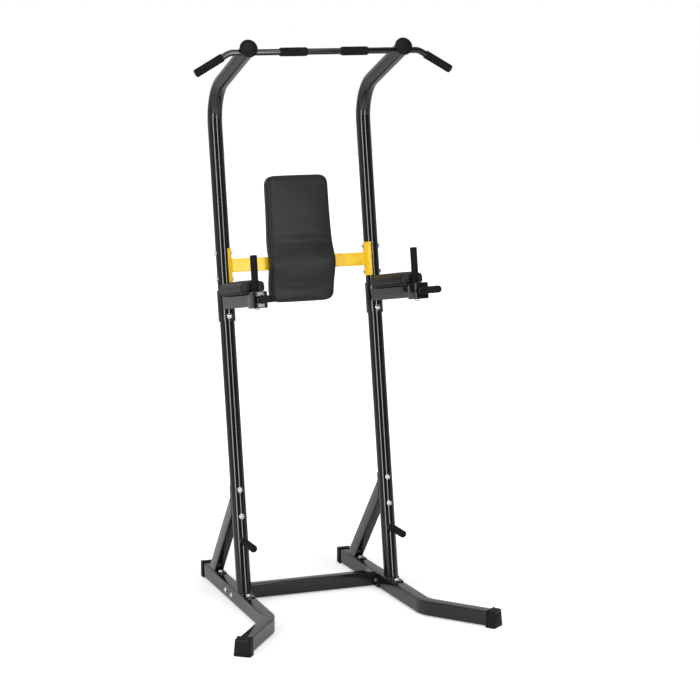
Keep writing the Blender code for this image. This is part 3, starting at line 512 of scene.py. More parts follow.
def makeLowerUpright():
    piece = startPiece("lowerUpright_right")
    leanTurn = math.radians(tower["lean"])
    disc((0, 0, -0.02), tower["tubeRadius"], (0, 0, 1), 56)
    pushFace((0, 0, lower["top"] + 0.02))
    growToShell()
    level = (0, -math.sin(leanTurn), math.cos(leanTurn))
    bpy.ops.mesh.bisect(plane_co=(0, 0, lower["foot"]), plane_no=level, use_fill=True, clear_inner=True)
    closePiece(piece, uprightPlace)
    fitPair(piece, blackCoat, "black_steel", "lower_upright")

    base = startPiece("uprightBase_right")
    length = lower["plateAhead"] + lower["plateBehind"]
    middle = (lower["plateBehind"] - lower["plateAhead"]) / 2
    height = tower["legTop"] + tower["gap"] + lower["plateThickness"] / 2
    plate((0, middle, height), lower["plateWidth"], length, lower["plateThickness"], 0.006)
    closePiece(base, legPlace)
    fitPair(base, blackCoat, "black_steel")

    bead = startPiece("uprightFootWeld_right")
    foot = (0, 0.0007, height + lower["plateThickness"] / 2 - 0.0002)
    weldBead(foot, (0, 0, 1), tower["tubeRadius"] + 0.0004, lower["footWeld"])
    closePiece(bead, footSpot)
    fitPair(bead, blackCoat, "black_steel")

    peg = startPiece("footPegTube_right")
    rod = [(0, lower["pegRadius"]), (lower["pegRun"], lower["pegRadius"])]
    turnShape(pegRoot + Vector((0, 0.01, 0)), (0, -1, 0), rod)
    weldBead(pegRoot + Vector((0, 0.0012, 0)), (0, -1, 0), lower["pegRadius"], lower["pegWeld"])
    closePiece(peg, footSpot)
    fitPair(peg, blackCoat, "black_steel")


# rubber grip from its mouth to its rounded end, with ribs all along
def ribbedProfile(length, radius, innerRadius, ribs, depth, endRound=0.004):
    profile = [(0, innerRadius), (0, radius - 0.0008), (0.0010, radius)]
    first, last = 0.006, length - endRound - 0.004
    pitch = (last - first) / ribs
    for rib in range(ribs):
        at = first + pitch * rib
        profile += [(at + share * pitch, radius - down)
                    for share, down in ((0, 0), (0.18, depth), (0.42, depth), (0.60, 0))]
    profile.append((length - endRound, radius))
    for angle in (25, 50, 75):
        turn = math.radians(angle)
        along, out = endRound * math.sin(turn), endRound * math.cos(turn)
        profile.append((length - endRound + along, radius - endRound + out))
    profile.append((length, radius - endRound))
    profile.append((length, 0.25 * radius))
    return profile


def makePegGrip():
    grip = startPiece("footPegGrip_right")
    start = pegRoot - Vector((0, lower["pegLength"] - lower["pegGripLength"] + tower["gripEnd"], 0))
    inside = lower["pegRadius"] + tower["gap"]
    profile = ribbedProfile(lower["pegGripLength"], lower["pegGripRadius"], inside, ribs=22, depth=0.0008)
    turnShape(start, (0, -1, 0), profile)
    closePiece(grip, footSpot, 50)
    fitPair(grip, rubber, "grip_rubber", "peg_grip")


# upper uprights, bent forward over the user, with a cap on the end
upper = {
    "rise": 23.0, "bendRadius": 0.170, "barBehindCap": 0.036, "barBelowAxis": 0.008,
    "capFront": (0, -0.124, 2.286), "capRadius": 0.036, "capThickness": 0.018, "capMouth": 0.0277,
}
riseTurn = math.radians(upper["rise"])
climb = Vector((0, -math.cos(riseTurn), math.sin(riseTurn)))
capFront = Vector(upper["capFront"])


# from the tower's own axes to those of the leaning tube
def intoUpright(point):
    return Matrix.Rotation(math.radians(tower["lean"]), 4, "X") @ (point - Vector((0, 0, tower["legTop"])))


def makeUpperUpright():
    piece = startPiece("upperUpright_right")
    tubeEnd = intoUpright(capFront - climb * (upper["capThickness"] + tower["gap"]))
    heading = Matrix.Rotation(math.radians(tower["lean"]), 4, "X") @ climb
    corner = tubeEnd - heading * (tubeEnd.y / heading.y)  # back to the tube's own axis
    start = Vector((0, 0, lower["top"] + tower["gap"]))
    disc(start, tower["tubeRadius"], (0, 0, 1), 56)
    runAlong([start, corner, tubeEnd], upper["bendRadius"], 26)
    closePiece(piece, uprightPlace)
    fitPair(piece, blackCoat, "black_steel", "upper_upright")


def makeTopCap():
    cap = startPiece("topCap_right")
    radius, thick = upper["capRadius"], upper["capThickness"]
    # domed face with a shallow ring groove, then a rolled rim over the tube's end
    profile = [(0.0004, 0.004), (0.0008, 0.35 * radius), (0.0022, 0.60 * radius), (0.0036, 0.74 * radius),
               (0.0046, 0.76 * radius), (0.0046, 0.79 * radius), (0.0040, 0.81 * radius), (0.0052, 0.90 * radius),
               (0.0072, 0.96 * radius), (0.0100, 0.995 * radius), (0.0125, radius), (thick - 0.0020, radius),
               (thick - 0.0006, radius - 0.0006), (thick, radius - 0.0020), (thick, upper["capMouth"]),
               (thick + 0.004, upper["capMouth"])]
    turnShape(capFront, -climb, profile, 64)
    closePiece(cap, footSpot, 40)
    fitPair(cap, pvc, "cap_plastic", "top_cap")


# rear braces: tube, saddle round the upright and foot plate
brace = {
    "depth": 0.060, "width": 0.040, "corner": 0.0035, "top": 0.378, "footBehind": 0.398,
    "boltLow": 0.317, "boltHigh": 0.426,
    "saddleWall": 0.003, "saddleHalf": 62, "saddleLength": 0.146, "overrun": 0.06, "footBoltAhead": 0.060,
    "plateWidth": 0.044, "plateThickness": 0.004, "plateAhead": 0.084, "plateBehind": 0.048,
}


# curved plate round the +Y side of a tube that stands along Z
def saddlePlate(radius, wall, halfAngle, middle, length, edge=0.0006):
    half = math.radians(halfAngle)
    rectangle((radius + wall / 2, 0, middle), wall, length, edge, segments=2)
    bpy.ops.transform.rotate(value=half - math.pi / 2, orient_axis="Z", center_override=(0, 0, middle))
    bpy.ops.mesh.spin(steps=28, angle=-2 * half, center=(0, 0, 0), axis=(0, 0, 1))


def makeBrace():
    piece = startPiece("rearBrace_right")
    back = tower["tubeRadius"] + tower["gap"]
    inLeg = Matrix.Translation((0, 0, tower["legTop"])) @ leanBack
    top = inLeg @ Vector((0, back + brace["saddleWall"] / 2, brace["top"]))
    plateTop = tower["legTop"] + tower["gap"] + brace["plateThickness"]
    foot = Vector((0, brace["footBehind"], plateTop - brace["plateThickness"] / 2))
    run = (foot - top).normalized()
    start, end = top - run * brace["overrun"], foot + run * brace["overrun"]
    rectangle((0, 0, 0), brace["width"], brace["depth"], brace["corner"])
    turn = run.angle(Vector((0, 1, 0)))
    bpy.ops.transform.rotate(value=turn, orient_axis="X", center_override=(0, 0, 0))
    bpy.ops.transform.translate(value=tuple(start))
    pushFace(end - start)
    growToShell()
    bpy.ops.mesh.bisect(plane_co=tuple(foot), plane_no=(0, 0, 1), use_fill=True, clear_inner=True)
    growToShell()
    away = inLeg.to_3x3() @ Vector((0, 1, 0))
    bpy.ops.mesh.bisect(plane_co=tuple(top), plane_no=tuple(away), use_fill=True, clear_inner=True)
    middle = brace["footBehind"] + (brace["plateBehind"] - brace["plateAhead"]) / 2
    plate((0, middle, plateTop - brace["plateThickness"] / 2), brace["plateWidth"],
          brace["plateAhead"] + brace["plateBehind"], brace["plateThickness"], 0.006)
    closePiece(piece, legPlace)
    fitPair(piece, blackCoat, "black_steel", "rear_brace")

    saddle = startPiece("braceSaddle_right")
    saddlePlate(back, brace["saddleWall"], brace["saddleHalf"], (brace["boltLow"] + brace["boltHigh"]) / 2,
                brace["saddleLength"])
    closePiece(saddle, uprightPlace)
    fitPair(saddle, blackCoat, "black_steel")


# pull-up bar with dropped ends
bar = {
    "radius": 0.0125, "straightHalf": 0.396, "dropOut": 0.140, "dropDown": 0.079, "bendRadius": 0.060,
    "endGripRadius": 0.0165, "endGripLength": 0.125,
    "gripRadius": 0.0175, "gripLength": 0.116, "gripCentre": 0.128, "gripShift": -0.007, "gripRibs": 26,
}
belowBar = Vector((0, -math.sin(riseTurn), -math.cos(riseTurn)))
barMiddle = capFront - climb * upper["barBehindCap"] + belowBar * upper["barBelowAxis"]
barMiddle += Vector((0, tower["uprightY"], 0))


def makeBar():
    piece = startPiece("pullUpBar")
    bends = [barMiddle + Vector((side * bar["straightHalf"], 0, 0)) for side in (-1, 1)]
    tips = [bend + Vector((side * bar["dropOut"], 0, -bar["dropDown"])) for bend, side in zip(bends, (-1, 1))]
    ends = [tip - (tip - bend).normalized() * tower["gripEnd"] for bend, tip in zip(bends, tips)]
    disc(ends[0], bar["radius"], bends[0] - ends[0], 32)
    runAlong([ends[0], bends[0], bends[1], ends[1]], bar["bendRadius"], 12)
    closePiece(piece)
    fit(piece, blackCoat, "black_steel", "pull_up_bar")

    grip = startPiece("barEndGrip_right")
    outward = (tips[1] - bends[1]).normalized()
    inside = bar["radius"] + tower["gap"]
    profile = ribbedProfile(bar["endGripLength"], bar["endGripRadius"], inside, ribs=30, depth=0.0006)
    turnShape(tips[1] - outward * bar["endGripLength"], outward, profile)
    closePiece(grip, None, 50)
    fitPair(grip, rubber, "grip_rubber", "bar_end_grip")

    # the two middle grips taper at both ends
    half, thick, thin = bar["gripLength"] / 2, bar["gripRadius"], bar["radius"] + 0.0006
    taper = [(half, thin), (half - 0.0005, thick - 0.0030), (half - 0.004, thick - 0.0012), (half - 0.008, thick)]
    profile = [(-along, out) for along, out in taper]
    pitch = (bar["gripLength"] - 0.018) / bar["gripRibs"]
    for rib in range(bar["gripRibs"]):
        at = -half + 0.009 + pitch * rib
        profile += [(at + share * pitch, thick - down)
                    for share, down in ((0, 0), (0.2, 0.0006), (0.45, 0.0006), (0.65, 0))]
    profile += taper[::-1]
    for name, side in (("left", -1), ("right", 1)):
        grip = startPiece("barGrip_" + name)
        centre = barMiddle + Vector((side * bar["gripCentre"] + bar["gripShift"], 0, 0))
        turnShape(centre, (1, 0, 0), profile)
        closePiece(grip, None, 50)
        fit(grip, rubber, "grip_rubber", "bar_grip_" + name)


# arms, each on a sleeve round the upright, with two handles at the front
arm = {
    "size": 0.050, "corner": 0.0035, "sleeveInner": 0.0303, "sleeveOuter": 0.035, "sleeveBelow": 0.075,
    "sleeveAbove": 0.052, "tubeStart": 0.0325, "tubeEnd": 0.4677, "boltBelow": 0.053,
}
head = {
    "front": 0.485, "length": 0.073, "width": 0.060, "tall": 0.066, "edge": 0.004,
    "rodRadius": 0.011, "gripRadius": 0.0143, "uprightAhead": 0.428, "uprightTop": 0.176,
    "dipLength": 0.162, "dipGripStart": 0.022, "rodWeld": 0.0030, "boltAhead": 0.434,
}


def makeArm():
    piece = startPiece("armTube_right")
    rectangle((0, -arm["tubeStart"], 0), arm["size"], arm["size"], arm["corner"])
    pushFace((0, arm["tubeStart"] - arm["tubeEnd"], 0))
    closePiece(piece, armPlace)
    fitPair(piece, blackCoat, "black_steel", "arm")

    sleeve = startPiece("armSleeve_right")
    hollowRing(arm["sleeveInner"], arm["sleeveOuter"], -arm["sleeveBelow"], arm["sleeveAbove"], 0.0012)
    closePiece(sleeve, armPlace)
    fitPair(sleeve, blackCoat, "black_steel")


def makeHandleHead():
    piece = startPiece("handleHead_right")
    middle = head["front"] - head["length"] / 2
    block((0, -middle, 0), (head["width"], head["length"], head["tall"]), head["edge"], 4)
    rod, root = head["rodRadius"], 0.002
    turnShape((0, -head["uprightAhead"], head["tall"] / 2 - root), (0, 0, 1),
              [(0, rod), (head["uprightTop"] - head["tall"] / 2 - 2 * root, rod)])
    turnShape((0, -head["front"] + root, 0), (0, -1, 0), [(0, rod), (head["dipLength"] - 2 * root, rod)])
    weldBead((0, -head["front"] + tower["gap"], 0), (0, -1, 0), rod, head["rodWeld"], 36)
    closePiece(piece, armPlace)
    fitPair(piece, blackCoat, "black_steel", "handle_head")

    grip = startPiece("uprightHandleGrip_right")
    low = head["tall"] / 2 + tower["gap"]
    inside = head["rodRadius"] + tower["gap"]
    profile = ribbedProfile(head["uprightTop"] - low, head["gripRadius"], inside, ribs=30, depth=0.0006)
    turnShape((0, -head["uprightAhead"], low), (0, 0, 1), profile)
    closePiece(grip, armPlace, 50)
    fitPair(grip, rubber, "grip_rubber", "upright_grip")

    grip = startPiece("dipHandleGrip_right")
    length = head["dipLength"] - head["dipGripStart"]
    flange = head["gripRadius"] + 0.0030
    profile = ribbedProfile(length, head["gripRadius"], inside, ribs=28, depth=0.0006, endRound=0.006)
    # the grip's root has a flange that stops the hand
    profile = [(0, inside), (0, flange - 0.0010), (0.0010, flange), (0.0030, flange),
               (0.0042, flange - 0.0014), (0.0050, head["gripRadius"])] + profile[3:]
    turnShape((0, -head["front"] - head["dipGripStart"], 0), (0, -1, 0), profile)
    closePiece(grip, armPlace, 50)
    fitPair(grip, rubber, "grip_rubber", "dip_grip")


# yellow crossbar behind the backrest, with a saddle on each upright
crossbar = {
    "height": 0.152, "depth": 0.025, "tall": 0.055, "corner": 0.0035, "halfLength": 0.2925,
    "saddleWall": 0.004, "saddleHalf": 70, "saddleLength": 0.140,
    "plateWidth": 0.090, "plateTall": 0.064, "plateThickness": 0.004, "boltOffset": 0.053,
}


def makeCrossbar():
    piece = startPiece("backrestCrossbar")
    height = crossbar["height"]
    rectangle((0, 0, height), crossbar["depth"], crossbar["tall"], crossbar["corner"])
    bpy.ops.transform.rotate(value=math.pi / 2, orient_axis="Z", center_override=(0, 0, height))
    bpy.ops.transform.translate(value=(-crossbar["halfLength"], 0, 0))
    pushFace((2 * crossbar["halfLength"], 0, 0))
    block((0, -crossbar["depth"] / 2 - crossbar["plateThickness"] / 2 + 0.0005, height),
          (crossbar["plateWidth"], crossbar["plateThickness"] + 0.001, crossbar["plateTall"]), 0.0008, 2)
    closePiece(piece, backPlace)
    fit(piece, yellowCoat, "yellow_steel", "backrest_crossbar")

    saddle = startPiece("crossbarSaddle_right")
    radius = tower["tubeRadius"] + tower["gap"]
    saddlePlate(radius, crossbar["saddleWall"], crossbar["saddleHalf"], height, crossbar["saddleLength"], 0.0008)
    bpy.ops.mesh.select_all(action="SELECT")
    bpy.ops.transform.rotate(value=-math.pi / 2, orient_axis="Z", center_override=(0, 0, height))
    bpy.ops.transform.translate(value=(tower["halfSpacing"], 0, 0))
    closePiece(saddle, backPlace)
    fitPair(saddle, yellowCoat, "yellow_steel")


# bolts: dome head, washer, shank and hexagon nut
bolt = {
    "headRadius": 0.0095, "headTall": 0.0075, "washerRadius": 0.0110, "washerThick": 0.0016,
    "shankRadius": 0.0040, "nutRadius": 0.0070, "nutTall": 0.0065, "plateGrip": 0.0063, "headGrip": 0.010,
}


def makeBolt(node, place, start, axis, grip):
    piece = startPiece(node.replace("_", "") + "_right")
    start, axis = Vector(start), Vector(axis).normalized()
    radius, tall, thick = bolt["headRadius"], bolt["headTall"], bolt["washerThick"]
    profile = [(-thick - tall, 0.0012)]
    for angle in (15, 28, 40, 52, 64, 76, 86):
        turn = math.radians(angle)
        profile.append((-thick - tall * math.cos(turn), radius * math.sin(turn)))
    profile += [(-thick, radius), (-thick, bolt["washerRadius"] - 0.0004), (-thick + 0.0003, bolt["washerRadius"]),
                (-0.0004, bolt["washerRadius"]), (0, bolt["washerRadius"] - 0.0003), (0, bolt["shankRadius"]),
                (grip, bolt["shankRadius"])]
    turnShape(start, axis, profile, 32)
    nut, end = bolt["nutRadius"], bolt["nutTall"]
    profile = [(0.0003, nut - 0.0006), (0.0009, nut), (end - 0.0008, nut), (end, nut - 0.0008)]
    turnShape(start + axis * grip, axis, profile, 6)
    closePiece(piece, place, 40)
    fitPair(piece, zinc, "zinc", node)


def makeBolts():
    radius, gap = tower["tubeRadius"], tower["gap"]
    grip = 2 * radius + gap + brace["saddleWall"]
    for name in ("Low", "High"):
        start = (0, -radius, brace["bolt" + name])
        makeBolt("brace_bolt_" + name.lower(), uprightPlace, start, (0, 1, 0), grip)
    start = (0, -arm["sleeveOuter"], tower["armHeight"] - arm["boltBelow"])
    makeBolt("sleeve_bolt", uprightPlace, start, (0, 1, 0), 2 * arm["sleeveOuter"])
    plateTop = tower["legTop"] + gap + lower["plateThickness"]
    footBolts = {"base_bolt": -lower["boltAhead"], "brace_foot_bolt": brace["footBehind"] - brace["footBoltAhead"]}
    for name, y in footBolts.items():
        makeBolt(name, legPlace, (0, y, plateTop), (0, 0, -1), bolt["plateGrip"])
    grip = leg["width"] + gap + beam["plateThickness"]
    for name, side in (("front", -1), ("rear", 1)):
        start = (leg["width"] / 2, beam["behind"] + side * beam["boltOffset"], leg["middleZ"])
        makeBolt("beam_bolt_" + name, legPlace, start, (-1, 0, 0), grip)
    grip = 2 * radius + gap + crossbar["saddleWall"]
    for name, side in (("low", -1), ("high", 1)):
        start = (radius, 0, tower["armHeight"] + crossbar["height"] + side * crossbar["boltOffset"])
        makeBolt("crossbar_bolt_" + name, uprightPlace, start, (-1, 0, 0), grip)
    makeBolt("head_bolt", armPlace, (0, -head["boltAhead"], -head["tall"] / 2), (0, 0, 1), bolt["headGrip"])


# eased from 0 to 1
def smoothStep(value):
    value = min(max(value, 0), 1)
    return value * value * (3 - 2 * value)


# foam under a stitched cover: the free skin swells, the seams and the board side hold it
cover = {"pressure": 4.0, "quality": 5, "mass": 0.25, "stretch": 12, "bend": 2, "steps": 20}


def swell(piece, held, most):
    before = [v.co.copy() for v in piece.data.vertices]
    group = piece.vertex_groups.new(name="held")
    for vertex in piece.data.vertices:
        amount = held(vertex.co)
        if amount > 0:
            group.add([vertex.index], amount, "REPLACE")
    cloth = piece.modifiers.new("Cloth", "CLOTH")
    settings = cloth.settings
    settings.quality = cover["quality"]
    settings.mass = cover["mass"]
    settings.tension_stiffness = settings.compression_stiffness = cover["stretch"]
    settings.bending_stiffness = cover["bend"]
    settings.use_pressure = True
    settings.uniform_pressure_force = cover["pressure"]
    settings.effector_weights.gravity = 0
    settings.vertex_group_mass = "held"
    settings.pin_stiffness = 1
    for step in range(1, cover["steps"] + 1):
        bpy.context.scene.frame_set(step)
    bpy.ops.object.modifier_apply(modifier="Cloth")
    bpy.context.scene.frame_set(1)
    for vertex, first in zip(piece.data.vertices, before):
        moved = vertex.co - first
        if moved.length > most:
            vertex.co = first + moved.normalized() * most
    piece.vertex_groups.clear()


def finishPad(piece):
    smooth = piece.modifiers.new("Smooth", "SMOOTH")
    smooth.factor = 0.5
    smooth.iterations = 8
    bpy.ops.object.modifier_apply(modifier="Smooth")
    subdivide = piece.modifiers.new("Subdivision", "SUBSURF")
    subdivide.levels = subdivide.render_levels = 1
    bpy.ops.object.modifier_apply(modifier="Subdivision")
    bpy.ops.object.shade_smooth()


def remesh(piece, voxel):
    made = piece.modifiers.new("Remesh", "REMESH")
    made.mode = "VOXEL"
    made.voxel_size = voxel
    bpy.ops.object.modifier_apply(modifier="Remesh")


# depth and inset of each level of a block whose far edge is rolled over
def rolledEdge(depth, edge, turns):
    turns = [math.radians(turn) for turn in turns]
    return [(depth - edge * (1 - math.sin(turn)), edge * (1 - math.cos(turn))) for turn in turns]


# pushes the selected rectangle through those levels
def pushLevels(base, up, wide, long, levels):
    for (lastDepth, lastInset), (depth, inset) in zip(levels, levels[1:]):
        pushFace([axis * (depth - lastDepth) for axis in up])
        across = (wide - 2 * inset) / (wide - 2 * lastInset)
        along = (long - 2 * inset) / (long - 2 * lastInset)
        centre = [start + axis * depth for start, axis in zip(base, up)]
        scaleFace((across, 1, along) if up[1] else (across, along, 1), centre)


# moves a finished pad or cord to its place on the tower
def setInPlace(piece, place):
    piece.matrix_world = place
    bpy.ops.object.transform_apply(location=True, rotation=True, scale=True)


backrest = {
    "width": 0.270, "tall": 0.520, "thickness": 0.052, "bottom": -0.010, "corner": 0.034,
    "bulge": 0.023, "spread": 0.052, "full": 0.055, "fullRun": 0.15,
    "tuck": 0.012, "tuckStart": 0.105, "tuckRun": 0.080,
    "edge": 0.016, "crown": 0.002, "pipingRadius": 0.0016, "seamInset": 0.010, "swell": 0.008, "voxel": 0.005,
}


# how far the pad stands forward at this height: bulging at the lumbar, tucked in below
def bow(height):
    away = (height - crossbar["height"]) / backrest["spread"]
    tuck = smoothStep((backrest["tuckStart"] - height) / backrest["tuckRun"])
    return backrest["bulge"] * math.exp(-away * away) - backrest["tuck"] * tuck


plateFront = crossbar["depth"] / 2 + crossbar["plateThickness"] + tower["gap"]
backFlat = plateFront - bow(crossbar["height"] + crossbar["plateTall"] / 2)


# the cover is pulled wider where it is stretched over the lumbar bulge
def bendToBow(piece):
    for vertex in piece.data.vertices:
        away = (vertex.co.z - crossbar["height"] + 0.01) / backrest["fullRun"]
        vertex.co.x *= 1 + backrest["full"] * math.exp(-away * away)
        vertex.co.y -= bow(vertex.co.z)


def makeBackrest():
    piece = startPiece("backrestPad")
    size = backrest
    middle = size["bottom"] + size["tall"] / 2
    front = backFlat + size["thickness"] - size["crown"]
    # the cover starts as a block whose front edges are rolled over, and swells from there
    rectangle((0, -backFlat, middle), size["width"], size["tall"], size["corner"], segments=8)
    levels = [(0, 0), (0.004, 0)] + rolledEdge(front - backFlat, size["edge"], (0, 15, 30, 45, 60, 75, 90))
    pushLevels((0, -backFlat, middle), (0, -1, 0), size["width"], size["tall"], levels)
    closePiece(piece)
    remesh(piece, size["voxel"])
    bendToBow(piece)

    def held(point):
        depthHere = -point.y - bow(point.z)
        if depthHere < backFlat + 0.007:
            return 1.0
        # the stitched seam runs round the front panel, just inside the rolled edge
        inWide = size["width"] / 2 - size["seamInset"] - abs(point.x)
        inTall = size["tall"] / 2 - size["seamInset"] - abs(point.z - middle)
        onSeam = abs(min(inWide, inTall)) < 0.003 and depthHere > front - 0.012
        return 0.85 if onSeam else 0.0

    swell(piece, held, size["swell"])
    finishPad(piece)
    setInPlace(piece, backPlace)
    fit(piece, vinyl, "pad_vinyl", "backrest_pad")

    inset = size["seamInset"]
    drop = size["edge"] * (1 - math.sin(math.acos(max(0.0, 1 - inset / size["edge"]))))
    edging = pipingLoop("backrestPiping", (0, -front + drop + 0.0004, middle), size["width"] - 2 * inset,
                        size["tall"] - 2 * inset, size["corner"] - inset / 2, True, size["pipingRadius"])
    bendToBow(edging)
    setInPlace(edging, backPlace)
    bpy.ops.object.shade_smooth()
    fit(edging, pipingWithPaintedHighlight, "pad_vinyl")


# rounded rectangle made into a round cord
def pipingLoop(name, centre, width, length, corner, upright, radius):
    piece = startPiece(name)
    rectangle(centre, width, length, corner, upright, segments=8)
    bpy.ops.mesh.delete(type="ONLY_FACE")
    bpy.ops.mesh.select_all(action="SELECT")
    bpy.ops.mesh.subdivide(number_cuts=3)
    cutLongEdges(piece, 0.010)
    bpy.ops.object.convert(target="CURVE")
    piece.data.bevel_depth = radius
    piece.data.bevel_resolution = 3
    bpy.ops.object.convert(target="MESH")
    return bpy.context.object


# cuts edges until none is longer than this, and leaves edit mode
def cutLongEdges(piece, most):
    for _ in range(4):
        bpy.ops.object.mode_set(mode="OBJECT")
        points = piece.data.vertices
        for vertex in points:
            vertex.select = False
        tooLong = 0
        for edge in piece.data.edges:
            start, end = edge.vertices
            edge.select = (points[start].co - points[end].co).length > most
            tooLong += edge.select
        bpy.ops.object.mode_set(mode="EDIT")
        if not tooLong:
            break
        bpy.ops.mesh.select_mode(type="EDGE")
        bpy.ops.mesh.subdivide(number_cuts=3)
    bpy.ops.mesh.select_mode(type="VERT")
    bpy.ops.object.mode_set(mode="OBJECT")


elbow = {
    "start": 0.065, "end": 0.409, "width": 0.100, "corner": 0.026, "thickness": 0.042,
    "boardInset": 0.006, "boardThickness": 0.010, "crown": 0.003, "edge": 0.010, "pipingRadius": 0.0012,
    "seams": (0.011, 0.022), "swell": 0.006, "voxel": 0.004,
}


def makeElbowPad():
    low = arm["size"] / 2 + tower["gap"]
    length = elbow["end"] - elbow["start"]
    middle = -(elbow["start"] + elbow["end"]) / 2
    board = startPiece("elbowBoard_right")
    plate((0, middle, low + elbow["boardThickness"] / 2), elbow["width"] - 2 * elbow["boardInset"],
          length - 2 * elbow["boardInset"], elbow["boardThickness"], elbow["corner"] - elbow["boardInset"], 0.0005)
    closePiece(board, armPlace)
    fitPair(board, plywood, "board_wood", "elbow_board")

    low += elbow["boardThickness"] + tower["gap"]
    top = low + elbow["thickness"] - elbow["crown"]
    wide, roll = elbow["width"], elbow["edge"]
    piece = startPiece("elbowPad_right")
    rectangle((0, middle, low), wide, length, elbow["corner"], False, 8)
    levels = [(0, 0)] + rolledEdge(top - low, roll, (0, 18, 36, 54, 72, 90))
    pushLevels((0, middle, low), (0, 0, 1), wide, length, levels)
    closePiece(piece)
    remesh(piece, elbow["voxel"])
    seams = [low + height for height in elbow["seams"]]

    def held(point):
        if point.z < low + 0.005:
            return 1.0
        inWide = wide / 2 - abs(point.x)
        inLong = length / 2 - abs(point.y - middle)
        # rows of stitching run round the side of the cover
        onSide = min(inWide, inLong) < 0.004 and point.z < top - roll
        return 0.9 if onSide and min(abs(point.z - seam) for seam in seams) < 0.0022 else 0.0

    swell(piece, held, elbow["swell"])
    finishPad(piece)
    setInPlace(piece, armPlace)
    for pad in fitPair(piece, vinyl, "pad_vinyl", "elbow_pad"):
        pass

    for row, height in enumerate(seams, 1):
        edging = pipingLoop(f"elbowSeam{row}_right", (0, middle, height), wide + 0.0006, length + 0.0006,
                            elbow["corner"], False, elbow["pipingRadius"])
        setInPlace(edging, armPlace)
        bpy.ops.object.shade_smooth()
        fitPair(edging, pipingWithPaintedHighlight, "pad_vinyl")


makeLeg()
makeFrontCap()
makeRearCap()
makeBeam()
print("floor frame made")
makeLowerUpright()
makePegGrip()
makeUpperUpright()
makeTopCap()
makeBrace()
makeBar()
print("uprights and bar made")
makeArm()
makeHandleHead()
makeCrossbar()
makeBolts()
print("arms, crossbar and bolts made")
makeBackrest()
makeElbowPad()
print("pads made")


# floor, lights and camera
studio = {
    "cameraPlace": (-3.1063, -8.3450, 2.6232), "cameraTilt": 90 - 9.94, "cameraTurn": -21.15,
    "lens": 114.8, "sensor": 36.0, "target": (0, 0, 1.1), "topTarget": (0, 0, 1.0),
    "floorSize": 40.0, "floorDrop": 0.0005, "floorGrey": 0.85, "mirroredGlow": 0.15,
    "glowFrom": 0.7, "glowTo": 2.6, "glowNear": 0.42, "glowFar": 1.0,
    "roomFrontY": -0.75, "roomBackY": 0.35, "roomFront": 0.06, "roomBack": 0.60,
}
# place, target, size and watts
softboxes = {
    "softboxLeft": ((-3.7, -2.8, 1.9), studio["target"], (1.1, 3.4), 105),
    "softboxRight": ((0.95, -4.6, 1.9), studio["target"], (0.95, 3.4), 95),
    "softboxTop": ((-0.2, -1.8, 4.7), studio["topTarget"], (2.8, 1.8), 58),
    "softboxRear": ((-3.5, 3.4, 3.3), studio["target"], (1.8, 2.2), 30),
}


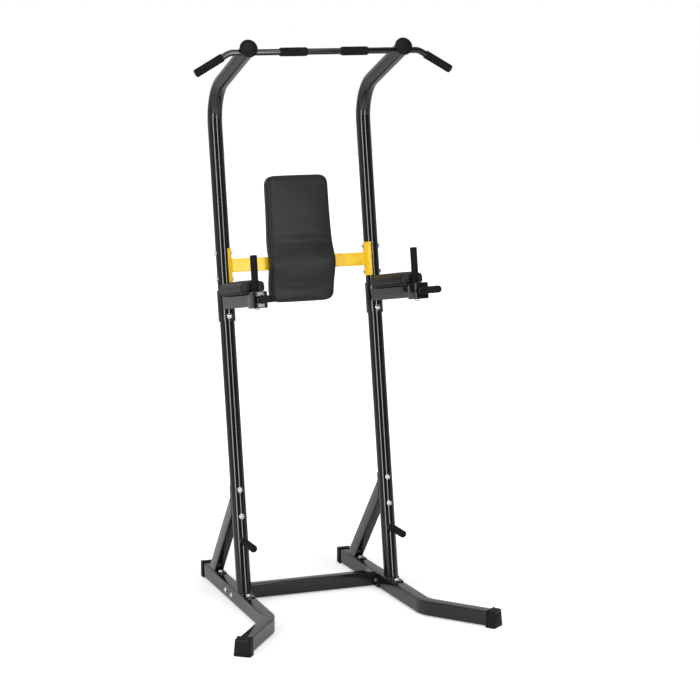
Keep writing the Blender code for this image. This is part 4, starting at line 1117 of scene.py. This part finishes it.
def makeFloor():
    bpy.ops.object.select_all(action="DESELECT")
    bpy.ops.mesh.primitive_plane_add(size=studio["floorSize"], location=(0, 0, -studio["floorDrop"]))
    floor = bpy.context.object
    floor.name = "studioFloor"
    made = bpy.data.materials.new("paleFloor")
    made.use_nodes = True
    tree = made.node_tree
    shader = tree.nodes["Principled BSDF"]
    shader.inputs["Base Color"].default_value = grey(studio["floorGrey"])
    shader.inputs["Roughness"].default_value = 0.9
    shader.inputs["Specular IOR Level"].default_value = 0.0
    # paper sweep: the floor keeps its shadows near the feet and turns to plain white further out
    place = tree.nodes.new("ShaderNodeTexCoord").outputs["Object"]
    away = addNode(tree, "VectorMath", {"operation": "LENGTH"}, {0: place})
    spread = addNode(
        tree, "MapRange",
        {"From Min": studio["glowFrom"], "From Max": studio["glowTo"],
         "To Min": studio["glowNear"], "To Max": studio["glowFar"]},
        {"Value": away.outputs["Value"]},
    )
    rays = addNode(tree, "LightPath")
    seen = addNode(tree, "Math", {"operation": "MULTIPLY_ADD", 1: studio["mirroredGlow"]},
                   {0: rays.outputs["Is Glossy Ray"], 2: rays.outputs["Is Camera Ray"]})
    shown = addNode(tree, "Math", {"operation": "MULTIPLY"},
                    {0: seen.outputs["Value"], 1: spread.outputs["Result"]})
    glow = addNode(tree, "Emission", {"Color": grey(1.0)}, {"Strength": shown.outputs["Value"]})
    both = addNode(tree, "AddShader", None, {0: shader.outputs["BSDF"], 1: glow.outputs["Emission"]})
    tree.links.new(both.outputs["Shader"], tree.nodes["Material Output"].inputs["Surface"])
    floor.data.materials.append(made)


def makeWorld():
    world = bpy.data.worlds.new("studio")
    bpy.context.scene.world = world
    world.use_nodes = True
    tree = world.node_tree
    room = tree.nodes["Background"]
    # a white backdrop behind the tower, a dim room in front of it
    place = tree.nodes.new("ShaderNodeTexCoord").outputs["Generated"]
    split = addNode(tree, "SeparateXYZ", None, {"Vector": place})
    depth = addNode(
        tree, "MapRange",
        {"From Min": studio["roomFrontY"], "From Max": studio["roomBackY"],
         "To Min": studio["roomFront"], "To Max": studio["roomBack"]},
        {"Value": split.outputs["Y"]},
    )
    tree.links.new(depth.outputs["Result"], room.inputs["Strength"])
    room.inputs["Color"].default_value = grey(1.0)
    white = addNode(tree, "Background", {"Color": grey(1.0), "Strength": 1.0})
    rays = addNode(tree, "LightPath")
    both = addNode(
        tree, "MixShader", None,
        {"Fac": rays.outputs["Is Camera Ray"], 1: room.outputs["Background"], 2: white.outputs["Background"]},
    )
    tree.links.new(both.outputs["Shader"], tree.nodes["World Output"].inputs["Surface"])


def areaLight(name, place, target, size, power):
    data = bpy.data.lights.new(name, "AREA")
    data.shape = "RECTANGLE"
    data.size, data.size_y = size
    data.energy = power
    lamp = bpy.data.objects.new(name, data)
    bpy.context.scene.collection.objects.link(lamp)
    lamp.location = place
    lamp.rotation_euler = (Vector(target) - Vector(place)).to_track_quat("-Z", "Y").to_euler()


def makeCamera():
    data = bpy.data.cameras.new("camera")
    data.lens = studio["lens"]
    data.sensor_width = studio["sensor"]
    camera = bpy.data.objects.new("camera", data)
    bpy.context.scene.collection.objects.link(camera)
    camera.location = studio["cameraPlace"]
    camera.rotation_euler = (math.radians(studio["cameraTilt"]), 0, math.radians(studio["cameraTurn"]))
    bpy.context.scene.camera = camera


makeFloor()
makeWorld()
for name, settings in softboxes.items():
    areaLight(name, *settings)
makeCamera()
bpy.context.scene.view_settings.view_transform = "Standard"
print("studio made")
